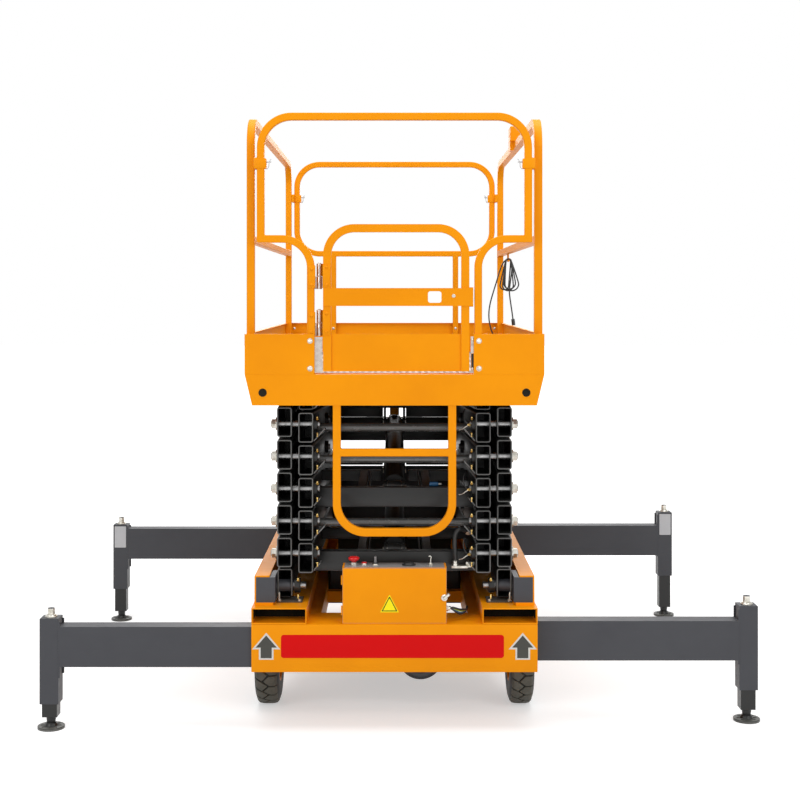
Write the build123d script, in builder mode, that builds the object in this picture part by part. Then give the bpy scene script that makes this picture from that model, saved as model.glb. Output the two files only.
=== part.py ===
from build123d import *
from math import asin, atan2, cos, degrees, hypot, radians, sin, sqrt, tan
import os

os.makedirs("parts", exist_ok=True)

# A towed scissor lift, lowered, with its four outriggers drawn out and its jacks on the ground.
# Millimetres. X is across the machine, Y runs from the gate end (-) to the drawbar end (+), Z is up.
# The origin is on the ground under the middle of the machine.

# ---- chassis
chassis_half_width = 568.0
chassis_front_y = -1100.0
chassis_rear_y = 1000.0
rail_inner_x = 349.0
rail_bottom_z = 426.0
rail_height = 64.0
rail_wall = 5.0
rail_top_z = rail_bottom_z + rail_height
track_thickness = 12.0
track_top_z = rail_top_z + track_thickness
long_beam_x = (300.0, 375.0)
long_beam_height = 96.0
cross_member_width = 50.0
cross_member_ys = (-350.0, 170.0)

# ---- outriggers: square beams that slide in two cells side by side, the left pair ahead of the right
beam_height = 160.0
beam_depth = 80.0
beam_wall = 6.0
beam_length = 1130.0
cell_gap = 6.0
cell_wall = 8.0
cell_floor = 10.0
cell_roof = 6.0
cell_pitch = beam_depth + 2 * cell_gap + cell_wall
front_beam_bottom_z = 253.0
rear_beam_bottom_z = 330.0
rear_box_front_y = 764.0
leg_side = 75.0
leg_height = 340.0
leg_wall = 7.0
leg_cap = 10.0
beam_stop_gap = 10.0
jack_side = 60.0
jack_length = 315.0
jack_bottom_z = 50.0
jack_stroke = 250.0
pad_radius = 53.5
pad_thickness = 10.0
neck_radius = 14.0
flange_radius = 27.5
stud_radius = 14.0
stud_height = 36.0

# ---- running gear
tyre_radius = 200.0
tyre_width = 103.0
bead_radius = 103.0
wheel_x = 530.5
front_axle_y = -685.0
rear_axle_y = 500.0
kingpin_x = 420.0
kingpin_radius = 16.0
steering_arm = 100.0
swivel_y = 950.0
spindle_radius = 20.0
hub_radius = 38.0
hub_cap_x = (33.0, 38.0)
hub_cap_radius = 20.0
bead_half = 42.0
bead_rise = 10.0
shoulder_half = 46.0
shoulder_drop = 14.0
crown_half = 36.0
bulge_drop = 52.0
flange_half = 48.0
axle_tube_radius = 38.0
pin_fit = 0.05

# ---- scissor: six stages of outer arm pairs and inner frames
stages = 6
pin_span = 1900.0
stage_rise = 131.4
pivot_y = -950.0
lowest_pin_z = 551.0
arm_height = 120.0
arm_width = 60.0
arm_wall = 5.0
pin_offset = 14.0
outer_arm_x = 414.0
inner_arm_x = 328.0
arm_end = 55.0
short_arm_end = 30.0
end_chamfer = (20.0, 10.0)
pin_radius = 25.0
roller_radius = 48.0
roller_x = (485.0, 545.0)
lane_gap = 4.0

# ---- cylinders, each from an inner frame to the one two stages up
base_eye_s = 765.0
base_eye_n = 0.0
rod_eye_s = -845.0
rod_eye_n = -40.0
eye_radius = 32.0
eye_half_width = 30.0
cylinder_pin_radius = 15.0
barrel_radius = 45.0
barrel_bore = 38.0
barrel_length = 1500.0
rod_radius = 25.0

# ---- platform
deck_front_y = -1050.0
deck_rear_y = 1090.0
deck_half_width = 600.0
floor_z = 1415.0
floor_plate = 4.0
panel_plate = 3.0
panel_gap = 5.0
panel_edge = 44.0
skirt_bottom_z = 1290.0
skirt_taper = 30.0
skirt_plate = 5.0
toe_height = 161.0
toe_sheet = 3.0
toe_lip = 15.0
post_side = 32.0
side_post_front_y = -1000.0
side_post_rear_y = 1060.0
side_rail_top_z = 2455.0
mid_rail_bottom_z = 1942.0
mid_rail_height = 30.0
end_tube = 30.0
end_frame_half_width = deck_half_width - 48.5
end_frame_top_z = side_rail_top_z + 8
end_frame_radius = (end_frame_top_z - mid_rail_bottom_z) * 139.0 / 521.0
gate_post_x = 321.0


# ---- lengths and places of smaller pieces
cylinder_stages = (1, 3)
top_tube = (845.0, -8.0, 70.0)
barrel_start = 56.0
barrel_head = 20.0
gland_length = 25.0
piston_length = 40.0
rib_count = 7
rib_width = 60.0
rib_bottom_z = 1400.0
roller_end_y = 1010.0
deck_flange_z = 1281.0
side_rail_radius = 120.0
bracket_z = (side_rail_top_z - 216, side_rail_top_z - 173)
ladder_half_width = 247.5
ladder_bottom_z = 764.0
ladder_top_z = 1385.0
ladder_radius = 133.0
ladder_rung_z = 1100.0

# ---- control lead: from the toe board up to loose loops on a hook under the right mid rail
cord_radius = 3.5
hook_radius = 5.0
hook_reach = 50.0
hook_x = deck_half_width - toe_sheet - 12
cord_hook = (hook_x, 562.0, 1906.0)
coil_centre = (hook_x, 1838.0)
coil_outer = (52.0, 88.0)
coil_band = 14.0
coil_y = (528.0, 556.0)
lead_route = (
    (hook_x - 17, 560.0, 1476.0),
    (hook_x - 50, 560.0, 1484.0),
    (hook_x - 77, 559.0, 1522.0),
    (hook_x - 95, 557.0, 1575.0),
    (hook_x - 101, 554.0, 1630.0),
    (hook_x - 94, 551.0, 1686.0),
    (hook_x - 78, 548.0, 1742.0),
    (hook_x - 61, 545.0, 1797.0),
    (hook_x - 45, 543.0, 1852.0),
    (hook_x - 29, 542.0, 1895.0),
)
tail_route = (
    (hook_x + 3, 527.0, 1750.0),
    (hook_x + 7, 528.0, 1715.0),
    (hook_x + 13, 531.0, 1675.0),
    (hook_x + 19, 535.0, 1638.0),
    (hook_x + 23, 538.0, 1607.0),
)


def save(piece, name):
    piece.part.label = name
    export_step(piece.part, f"parts/{name}.step")


def span(x0, x1, y0, y1, z0, z1, mode=Mode.ADD):
    """A plate or bar between two corners, added to the piece being built."""
    with Locations(((x0 + x1) / 2, (y0 + y1) / 2, (z0 + z1) / 2)):
        Box(x1 - x0, y1 - y0, z1 - z0, mode=mode)


def rod_x(x0, x1, y, z, radius, mode=Mode.ADD):
    """A round bar or hole along X."""
    with BuildSketch(Plane.YZ.offset(x0)) as face:
        with Locations((y, z)):
            Circle(radius)
    extrude(face.sketch, amount=x1 - x0, mode=mode)


def rod_z(x, y, z0, z1, radius, mode=Mode.ADD):
    """A round bar or hole along Z."""
    with BuildSketch(Plane.XY.offset(z0)) as face:
        with Locations((x, y)):
            Circle(radius)
    extrude(face.sketch, amount=z1 - z0, mode=mode)


# ======================================================================= chassis
beam_cells = {}
for end, front_y, beam_z in (
    ("front", chassis_front_y, front_beam_bottom_z),
    ("rear", rear_box_front_y, rear_beam_bottom_z),
):
    first = front_y + cell_wall + cell_gap + beam_depth / 2
    beam_cells[end, "left"] = (first, beam_z)
    beam_cells[end, "right"] = (first + cell_pitch, beam_z)
cell_width = beam_depth + 2 * cell_gap
box_depth = 3 * cell_wall + 2 * cell_width
front_box_rear_y = chassis_front_y + box_depth
rear_box_rear_y = rear_box_front_y + box_depth
rear_box_top_z = track_top_z
cell_below = {"front": 7.0, "rear": 7.0}
swivel_pin_radius = 22.0
swivel_hub = (205.0, 303.0)

# a box of welded plates across each end of the chassis, with two through cells for the beams
for end, front_y, beam_z, top_z in (
    ("front", chassis_front_y, front_beam_bottom_z, rail_bottom_z),
    ("rear", rear_box_front_y, rear_beam_bottom_z, rear_box_top_z),
):
    bottom_z = beam_z - cell_below[end] - cell_floor
    inner_z = (bottom_z + cell_floor, top_z - cell_roof)
    plates = [
        (front_y, front_y + box_depth, bottom_z, inner_z[0]),
        (front_y, front_y + box_depth, inner_z[1], top_z),
    ]
    for i in range(3):
        web_y = front_y + i * cell_pitch
        plates.append((web_y, web_y + cell_wall, *inner_z))
    if end == "rear":
        # rear bumper
        plates.append((rear_box_rear_y, chassis_rear_y, bottom_z, rail_top_z))
    pieces = []
    for plate in plates:
        with BuildPart() as welded:
            span(-chassis_half_width, chassis_half_width, *plate)
        pieces.append(welded.part.solid())
    if end == "rear":
        # the pin the drawbar swivels on
        with BuildPart() as swivel_pin:
            rod_z(0, swivel_y, swivel_hub[0] - 5, bottom_z, swivel_pin_radius)
            rod_z(0, swivel_y, swivel_hub[0] - 15, swivel_hub[0] - 5, swivel_pin_radius + 8)
        pieces.append(swivel_pin.part.solid())
    with BuildPart() as cross_box:
        pass
    cross_box.part = Part(pieces)
    save(cross_box, f"{end}_box")

cross_member_z = (354.0, 404.0)
with BuildPart() as chassis_frame:
    # side rails, rectangular tubes whose front ends stand open
    rail_centre = (rail_inner_x + chassis_half_width) / 2
    rail_width = chassis_half_width - rail_inner_x
    for side in (-1, 1):
        with BuildSketch(Plane.XZ.offset(-rear_box_front_y)):
            with Locations((side * rail_centre, rail_bottom_z + rail_height / 2)):
                Rectangle(rail_width, rail_height)
                Rectangle(rail_width - 2 * rail_wall, rail_height - 2 * rail_wall, mode=Mode.SUBTRACT)
        extrude(amount=rear_box_front_y - chassis_front_y)
        # long beams under the rails
        x0, x1 = sorted((side * long_beam_x[0], side * long_beam_x[1]))
        span(x0, x1, front_box_rear_y, rear_box_front_y, rail_bottom_z - long_beam_height, rail_bottom_z)
    for y in cross_member_ys:
        half = cross_member_width / 2
        span(-long_beam_x[0], long_beam_x[0], y - half, y + half, *cross_member_z)
save(chassis_frame, "chassis_frame")

channel_outer_x = 560.0
channel_wall = 6.0
channel_roof_x = 500.0
channel_front_y = -1050.0
channel_top_z = 609.0
with BuildPart() as roller_channels:
    for side in (-1, 1):
        # track strip, side wall and roof of the channel the rollers run in
        for y0, y1 in ((channel_front_y, rear_box_front_y), (rear_box_rear_y, chassis_rear_y)):
            x0, x1 = sorted((side * roller_x[0], side * channel_outer_x))
            span(x0, x1, y0, y1, rail_top_z, track_top_z)
        with BuildSketch(Plane.XZ.offset(-chassis_rear_y)):
            with BuildLine():
                Polyline(
                    (side * channel_outer_x, track_top_z),
                    (side * channel_outer_x, channel_top_z),
                    (side * channel_roof_x, channel_top_z),
                    (side * channel_roof_x, channel_top_z - channel_wall),
                    (side * (channel_outer_x - channel_wall), channel_top_z - channel_wall),
                    (side * (channel_outer_x - channel_wall), track_top_z),
                    close=True,
                )
            make_face()
        extrude(amount=chassis_rear_y - channel_front_y)
save(roller_channels, "roller_channels")

# dark blocks at the front ends of the channels, each with the lowest pivot pin
pivot_block_x = (478.0, channel_outer_x - channel_wall)
pivot_block_y = (channel_front_y, -905.0)
pivot_pin_end_x = outer_arm_x - lane_gap
with BuildPart() as pivot_blocks:
    for side in (-1, 1):
        x0, x1 = sorted((side * pivot_block_x[0], side * pivot_block_x[1]))
        span(x0, x1, *pivot_block_y, track_top_z, channel_top_z - channel_wall)
        x0, x1 = sorted((side * pivot_pin_end_x, side * pivot_block_x[0]))
        rod_x(x0, x1, pivot_y, lowest_pin_z, pin_radius)
save(pivot_blocks, "pivot_blocks")

box_half_width = 207.0
box_y = (-1095.0, -985.0)
box_top_z = 649.0
with BuildPart() as control_box:
    span(-box_half_width, box_half_width, *box_y, rail_bottom_z, box_top_z)
    fillet(control_box.edges().filter_by(Axis.Z), radius=6)
save(control_box, "control_box")

# emergency stop, push button, selector, socket and key switch on the box's top
controls = ((-165, 20, 26, 30), (-120, 10, 12, 14), (-75, 13, 12, 22), (60, 24, 8, 10), (145, 11, 10, 24))
control_y = -1040.0
with BuildPart() as box_controls:
    for x, radius, stem, height in controls:
        rod_z(x, control_y, box_top_z, box_top_z + height, radius * 0.6)
        rod_z(x, control_y, box_top_z + height / 2, box_top_z + height, radius)
save(box_controls, "box_controls")

# battery and pump under their cover, one block on a tray between the long beams
with BuildPart() as power_unit:
    span(-long_beam_x[0], long_beam_x[0], -290, 110, 345, 480)
    fillet(power_unit.edges().filter_by(Axis.Z), radius=12)
save(power_unit, "power_unit")

# ======================================================================= axles and wheels
wheel_z = tyre_radius
axle_end_x = 466.0
spindle_end_x = 562.0
gear_x = 110.0
gear_radius = 95.0
fork_plate = 15.0
knuckle_half_height = 29.0
fork_inner = knuckle_half_height + 6.0
knuckle_radius = 30.0
fork_reach = 34.0
axle_beam_half = 35.0
arm_plate_z = (wheel_z + fork_inner + fork_plate + 6, wheel_z + fork_inner + fork_plate + 20)
link_z = (arm_plate_z[1] + 3, arm_plate_z[1] + 25)
link_pin_radius = 10.0
axle_line = Plane(origin=(0, front_axle_y, wheel_z), x_dir=(1, 0, 0), z_dir=(0, -1, 0))
with BuildPart() as axles:
    # the front axle, one revolved casting: spindles, tubes and the swelling round the
    # differential, right of the middle
    with BuildSketch(axle_line):
        with BuildLine():
            Polyline(
                (-spindle_end_x, 0),
                (-spindle_end_x, spindle_radius),
                (-axle_end_x, spindle_radius),
                (-axle_end_x, axle_tube_radius),
                (gear_x - 230, axle_tube_radius),
                (gear_x - 80, 66),
                (gear_x + 80, 66),
                (gear_x + 180, axle_tube_radius),
                (axle_end_x, axle_tube_radius),
                (axle_end_x, spindle_radius),
                (spindle_end_x, spindle_radius),
                (spindle_end_x, 0),
                close=True,
            )
        make_face()
    revolve(axis=Axis((0, front_axle_y, wheel_z), (1, 0, 0)))
    # the differential's round case, its domed cover towards the front
    with BuildSketch(Plane(origin=(gear_x, front_axle_y, wheel_z), x_dir=(0, -1, 0), z_dir=(1, 0, 0))):
        with BuildLine():
            Polyline(
                (-90, 0), (-90, 45), (-55, gear_radius), (40, gear_radius), (40, gear_radius - 8),
                (78, 60), (92, 0), close=True,
            )
        make_face()
    revolve(axis=Axis((gear_x, front_axle_y, wheel_z), (0, 1, 0)))
    # hangers welded under the long beams
    for side in (-1, 1):
        x0, x1 = sorted((side * (long_beam_x[0] + 20), side * (long_beam_x[1] - 20)))
        span(x0, x1, front_axle_y - 45, front_axle_y + 45, wheel_z, rail_bottom_z - long_beam_height)
    # the rear axle, a square beam with a fork for each steered knuckle
    beam_end = kingpin_x - knuckle_radius - 6
    span(-beam_end, beam_end, rear_axle_y - axle_beam_half, rear_axle_y + axle_beam_half,
         wheel_z - axle_beam_half, wheel_z + axle_beam_half)
    for side in (-1, 1):
        # fork plates above and below the knuckle
        for z0 in (wheel_z + fork_inner, wheel_z - fork_inner - fork_plate):
            x0, x1 = sorted((side * (beam_end - 40), side * (kingpin_x + fork_reach)))
            span(x0, x1, rear_axle_y - axle_beam_half, rear_axle_y + axle_beam_half, z0, z0 + fork_plate)
            pin_hole = kingpin_radius + pin_fit
            rod_z(side * kingpin_x, rear_axle_y, z0, z0 + fork_plate, pin_hole, Mode.SUBTRACT)
        x0, x1 = sorted((side * (long_beam_x[0] + 5), side * (long_beam_x[1] - 25)))
        pad_z = (wheel_z + axle_beam_half, rail_bottom_z - long_beam_height)
        span(x0, x1, rear_axle_y - 40, rear_axle_y + 40, *pad_z)
save(axles, "axles")

for side, name in ((-1, "left"), (1, "right")):
    with BuildPart() as knuckle:
        x, y = side * kingpin_x, rear_axle_y
        rod_z(x, y, wheel_z - knuckle_half_height, wheel_z + knuckle_half_height, knuckle_radius)
        rod_z(x, y, wheel_z - fork_inner - fork_plate - 5, arm_plate_z[1], kingpin_radius)
        with BuildSketch(Plane.YZ.offset(x)):
            with Locations((y, wheel_z)):
                Circle(26)
        extrude(amount=side * 50)
        with BuildSketch(Plane.YZ.offset(x)):
            with Locations((y, wheel_z)):
                Circle(spindle_radius)
        extrude(amount=side * (spindle_end_x - kingpin_x))
        # steering arm on top of the kingpin, pointing forward
        with BuildSketch(Plane.XY.offset(arm_plate_z[0])):
            with Locations((x, y - steering_arm / 2)):
                SlotCenterToCenter(steering_arm, 36, rotation=90)
        extrude(amount=arm_plate_z[1] - arm_plate_z[0])
        rod_z(x, y - steering_arm, arm_plate_z[1], link_z[1] + 4, link_pin_radius)
    save(knuckle, f"knuckle_{name}")

tie_rod_y = rear_axle_y - steering_arm
swivel_arm_y = swivel_y - steering_arm
with BuildPart() as steering_link:
    link_mid = sum(link_z) / 2
    rod_x(-kingpin_x, kingpin_x, tie_rod_y, link_mid, 10)
    span(-15, 15, tie_rod_y, swivel_arm_y, link_z[0] + 2, link_z[1] - 2)
    for x, y in ((-kingpin_x, tie_rod_y), (kingpin_x, tie_rod_y), (0, swivel_arm_y)):
        rod_z(x, y, link_z[0], link_z[1], 20)
    for x, y in ((-kingpin_x, tie_rod_y), (kingpin_x, tie_rod_y), (0, swivel_arm_y)):
        rod_z(x, y, link_z[0], link_z[1], link_pin_radius + pin_fit, Mode.SUBTRACT)
save(steering_link, "steering_link")

hinge_y = 1070.0
hinge_z = 238.0
drawbar_boss = 30.0
drawbar_half = 25.0
cheek_x = (drawbar_half + 5, drawbar_half + 17)
hinge_pin_radius = 12.0
with BuildPart() as drawbar_swivel:
    rod_z(0, swivel_y, *swivel_hub, 44)
    with BuildSketch(Plane.XY.offset(arm_plate_z[0])):
        with Locations((0, swivel_y - steering_arm / 2)):
            SlotCenterToCenter(steering_arm, 40, rotation=90)
    extrude(amount=arm_plate_z[1] - arm_plate_z[0])
    rod_z(0, swivel_arm_y, arm_plate_z[1], link_z[1] + 4, link_pin_radius)
    # yoke to the drawbar's hinge, with the stop plate between its cheeks
    yoke_wall_y = hinge_y - drawbar_boss - 8
    span(-cheek_x[1], cheek_x[1], swivel_y, yoke_wall_y, hinge_z - 25, hinge_z + 25)
    for side in (-1, 1):
        x0, x1 = sorted((side * cheek_x[0], side * cheek_x[1]))
        with BuildSketch(Plane.YZ.offset(x0)):
            with Locations(((yoke_wall_y + hinge_y) / 2 - 5, hinge_z)):
                SlotOverall(hinge_y - yoke_wall_y + 10 + 50, 50)
        extrude(amount=x1 - x0)
    rod_x(-cheek_x[1], cheek_x[1], hinge_y, hinge_z, hinge_pin_radius)
    rod_z(0, swivel_y, *swivel_hub, swivel_pin_radius + pin_fit, Mode.SUBTRACT)
save(drawbar_swivel, "drawbar_swivel")

drawbar_length = 900.0
drawbar_lean = 2.0
eye_hole_radius = 25.0
bar_up = Vector(0, -sin(radians(drawbar_lean)), cos(radians(drawbar_lean)))
bar_side = Plane(origin=(0, hinge_y, hinge_z), x_dir=bar_up, z_dir=(1, 0, 0))
with BuildPart() as drawbar:
    with BuildSketch(bar_side.offset(-drawbar_half)):
        Circle(drawbar_boss)
        with Locations((drawbar_length / 2, 0)):
            Rectangle(drawbar_length, 2 * drawbar_half)
        Circle(hinge_pin_radius + pin_fit, mode=Mode.SUBTRACT)
    extrude(amount=2 * drawbar_half)
    # towing eye, a flat ring at the tip
    ring_centre = bar_side.from_local_coords((drawbar_length + 40, 0, 0))
    ring = Plane(origin=ring_centre, x_dir=(1, 0, 0), z_dir=bar_side.y_dir)
    with BuildSketch(ring.offset(-12)):
        Circle(46)
        with Locations((0, -30)):
            Rectangle(50, 40)
        Circle(eye_hole_radius, mode=Mode.SUBTRACT)
    extrude(amount=24)
    # cross handle
    grip = bar_side.from_local_coords((drawbar_length - 90, 0, 0))
    rod_x(-150, 150, grip.Y, grip.Z, 14)
save(drawbar, "drawbar")

wheels = (
    ("front_left", -1, front_axle_y),
    ("front_right", 1, front_axle_y),
    ("rear_left", -1, rear_axle_y),
    ("rear_right", 1, rear_axle_y),
)
for name, side, y in wheels:
    # local x runs outward along the wheel's axle, local y up from it
    wheel_plane = Plane(origin=(side * wheel_x, y, wheel_z), x_dir=(side, 0, 0), z_dir=(0, -side, 0))
    axle_axis = Axis((side * wheel_x, y, wheel_z), (1, 0, 0))
    half = tyre_width / 2
    wall_r = bead_radius + bead_rise
    bulge_r = tyre_radius - bulge_drop
    shoulder_r = tyre_radius - shoulder_drop
    with BuildPart() as tyre:
        with BuildSketch(wheel_plane):
            with BuildLine():
                Line((-bead_half, wall_r), (-bead_half, bead_radius))
                Line((-bead_half, bead_radius), (bead_half, bead_radius))
                Line((bead_half, bead_radius), (bead_half, wall_r))
                ThreePointArc((bead_half, wall_r), (half, bulge_r), (shoulder_half, shoulder_r))
                Line((shoulder_half, shoulder_r), (crown_half, tyre_radius - 1))
                crown_edge = tyre_radius - 1
                ThreePointArc((crown_half, crown_edge), (0, tyre_radius), (-crown_half, crown_edge))
                Line((-crown_half, tyre_radius - 1), (-shoulder_half, shoulder_r))
                ThreePointArc((-shoulder_half, shoulder_r), (-half, bulge_r), (-bead_half, wall_r))
            make_face()
        revolve(axis=axle_axis)
    save(tyre, f"tyre_{name}")
    cap_x = spindle_end_x - wheel_x + 1
    seat_r = bead_radius - 0.3
    seat_half = bead_half + 1
    with BuildPart() as rim:
        with BuildSketch(wheel_plane):
            with BuildLine():
                Polyline(
                    (-flange_half, seat_r + 9),
                    (-seat_half, seat_r + 9),
                    (-seat_half, seat_r),
                    (seat_half, seat_r),
                    (seat_half, seat_r + 9),
                    (flange_half, seat_r + 9),
                    (flange_half, seat_r - 3),
                    (flange_half - 10, seat_r - 9),
                    (10 - flange_half, seat_r - 9),
                    (-flange_half, seat_r - 3),
                    close=True,
                )
            make_face()
            with BuildLine():
                cone_foot = hub_radius - 2
                cone_rim = seat_r - 7
                Polyline((-6, cone_foot), (4, cone_rim), (16, cone_rim), (6, cone_foot), close=True)
            make_face()
            with BuildLine():
                Polyline(
                    (-hub_radius - 10, spindle_radius + pin_fit),
                    (-hub_radius - 10, hub_radius),
                    (6, hub_radius),
                    (hub_cap_x[0], hub_radius - 4),
                    (hub_cap_x[1], hub_cap_radius),
                    (hub_cap_x[1], 0),
                    (cap_x, 0),
                    (cap_x, spindle_radius + pin_fit),
                    close=True,
                )
            make_face()
        revolve(axis=axle_axis)
    save(rim, f"rim_{name}")

# ======================================================================= outriggers and jacks
# name, side, where the leg stands across the machine, bottom of the leg tube
legs = (
    ("front_left", "front", "left", -1374.0, 104.0),
    ("front_right", "front", "right", 1434.0, 132.0),
    ("rear_left", "rear", "left", -1455.0, 170.0),
    ("rear_right", "rear", "right", 1455.0, 220.0),
)
for name, end, which, leg_x, leg_bottom in legs:
    cell_y, beam_z = beam_cells[end, which]
    side = 1 if leg_x > 0 else -1
    leg_inner = leg_x - side * leg_side / 2
    with BuildPart() as outrigger:
        with BuildSketch(Plane.YZ.offset(leg_inner)):
            with Locations((cell_y, beam_z + beam_height / 2)):
                Rectangle(beam_depth, beam_height)
                Rectangle(beam_depth - 2 * beam_wall, beam_height - 2 * beam_wall, mode=Mode.SUBTRACT)
        extrude(amount=-side * beam_length)
        with BuildSketch(Plane.XY.offset(leg_bottom)):
            with Locations((leg_x, cell_y)):
                Rectangle(leg_side, leg_side)
        extrude(amount=leg_height)
        with BuildSketch(Plane.XY.offset(leg_bottom)):
            with Locations((leg_x, cell_y)):
                Rectangle(leg_side - 2 * leg_wall, leg_side - 2 * leg_wall)
        extrude(amount=leg_height - leg_cap, mode=Mode.SUBTRACT)
        top = leg_bottom + leg_height
        rod_z(leg_x, cell_y, top, top + 4, 24)
        rod_z(leg_x, cell_y, top + 4, top + stud_height, stud_radius)
    save(outrigger, f"outrigger_{name}")
    with BuildPart() as jack:
        with BuildSketch(Plane.XY.offset(jack_bottom_z)):
            with Locations((leg_x, cell_y)):
                Rectangle(jack_side, jack_side)
        extrude(amount=jack_length)
        rod_z(leg_x, cell_y, 0, pad_thickness, pad_radius)
        with BuildSketch(Plane.XY.offset(pad_thickness)):
            with Locations((leg_x, cell_y)):
                Circle(flange_radius)
        extrude(amount=14, taper=30)
        rod_z(leg_x, cell_y, pad_thickness, jack_bottom_z, neck_radius)
    save(jack, f"jack_{name}")

# ======================================================================= scissor
rest_angle = asin(stage_rise / pin_span)
lean = asin(2 * pin_offset / pin_span)
pin_s = pin_span / 2 * cos(lean)
boss_radius = pin_radius + 7


def arm_plane(stage, towards):
    """Side view of an arm: local x along it to its high end, which is at the rear for towards 1."""
    centre = (0, pivot_y + pin_span / 2 * cos(rest_angle), lowest_pin_z + (stage - 0.5) * stage_rise)
    tilt = rest_angle - lean
    return Plane(origin=centre, x_dir=(0, towards * cos(tilt), sin(tilt)), z_dir=(towards, 0, 0))


def arm_pair(plane, lane_x, low_end, high_end, holes):
    """One rectangular tube of a pair, ends open around the boss of each end pin."""
    with BuildSketch(plane.offset(lane_x)) as face:
        with Locations(((high_end - low_end) / 2, 0)):
            Rectangle(2 * pin_s + low_end + high_end, arm_height)
        if holes:
            with Locations(*holes):
                Circle(pin_radius + pin_fit, mode=Mode.SUBTRACT)
        # the corner that swings past the track is cut off
        for towards, end in ((-1, low_end), (1, high_end)):
            if end == short_arm_end:
                corner = (towards * (pin_s + end), towards * arm_height / 2)
                along = (corner[0] - towards * end_chamfer[0], corner[1])
                across = (corner[0], corner[1] - towards * end_chamfer[1])
                with BuildLine():
                    Polyline(corner, along, across, close=True)
                make_face(mode=Mode.SUBTRACT)
    extrude(face.sketch, amount=arm_width)
    with BuildSketch(plane.offset(lane_x + arm_wall)) as face:
        for towards, end in ((-1, low_end), (1, high_end)):
            with Locations((towards * (pin_s + end / 2), 0)):
                Rectangle(end, arm_height - 2 * arm_wall)
        with Locations((-pin_s, -pin_offset), (pin_s, pin_offset)):
            Circle(boss_radius, mode=Mode.SUBTRACT)
    extrude(face.sketch, amount=arm_width - 2 * arm_wall, mode=Mode.SUBTRACT)


def roller(plane, at, from_x):
    """A roller on its shaft, outboard of an arm."""
    with BuildSketch(plane.offset(from_x)) as face:
        with Locations(at):
            Circle(pin_radius)
    extrude(face.sketch, amount=roller_x[0] - from_x)
    with BuildSketch(plane.offset(roller_x[0])) as face:
        with Locations(at):
            Circle(roller_radius)
    extrude(face.sketch, amount=roller_x[1] - roller_x[0])


pin_reach = outer_arm_x + arm_width + lane_gap
inner_face = inner_arm_x + arm_width
for stage in range(1, stages + 1):
    plane = arm_plane(stage, 1)
    low_end = short_arm_end if stage == 1 else arm_end
    high_end = short_arm_end if stage == stages else arm_end
    holes = [(-pin_s, -pin_offset), (0, 0)]
    if stage < stages:
        holes.append((pin_s, pin_offset))
    with BuildPart() as outer_arms:
        arm_pair(plane, outer_arm_x, low_end, high_end, holes)
        if stage == stages:
            roller(plane, (pin_s, pin_offset), outer_arm_x + arm_width)
        mirror(about=Plane.YZ)
    save(outer_arms, f"outer_arms_{stage}")

deck_bracket_x = (424.0, 440.0)
base_beam = (845.0, -28.0, 80.0)
second_tube = (332.0, 22.0, 46.0)
second_tube_gap = 60.0
front_bar = (830.0, -5.0, 17.0)
# rear cross tubes, tall and narrow: how low and high each stands beside the arm's middle line
rear_tube_s = -905.0
rear_tube_depth = 40.0
rear_tube_n = ((-40, 85), (-15, 110), (-15, 69), (-15, 110), (-15, 85), (-15, 70))
rear_tube_gap = 62.0
strut_x = 135.0
strut_side = 36.0
lug_beam = (-845.0, 49.0, 38.0)
lug_plate = 12.0
base_lug_x = eye_half_width + 3
rod_lug_x = 45.0


def cross_tube(plane, s, n, depth, height, gap=0.0):
    """A tube between the two arms of an inner frame, in two halves if a gap is left for a cylinder."""
    for x0, x1 in ((-inner_arm_x, -gap), (gap, inner_arm_x)):
        with BuildSketch(plane.offset(x0)) as face:
            with Locations((s, n)):
                Rectangle(depth, height)
        extrude(face.sketch, amount=x1 - x0)


def cross_bar(plane, s, n, radius):
    """A round bar between the two arms of an inner frame."""
    with BuildSketch(plane.offset(-inner_arm_x)) as face:
        with Locations((s, n)):
            Circle(radius)
    extrude(face.sketch, amount=2 * inner_arm_x)


def lug_plates(plane, from_x, eye, root, hole_radius):
    """Two plates that carry a cylinder's pin, from a cross tube out to the eye."""
    s0, s1, n0, n1 = root
    for x in (from_x, -from_x - lug_plate):
        with BuildSketch(plane.offset(x)) as face:
            with Locations(((s0 + s1) / 2, (n0 + n1) / 2)):
                Rectangle(s1 - s0, n1 - n0)
            with Locations(eye):
                Circle(eye_radius)
                Circle(hole_radius, mode=Mode.SUBTRACT)
        extrude(face.sketch, amount=lug_plate)


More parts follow.
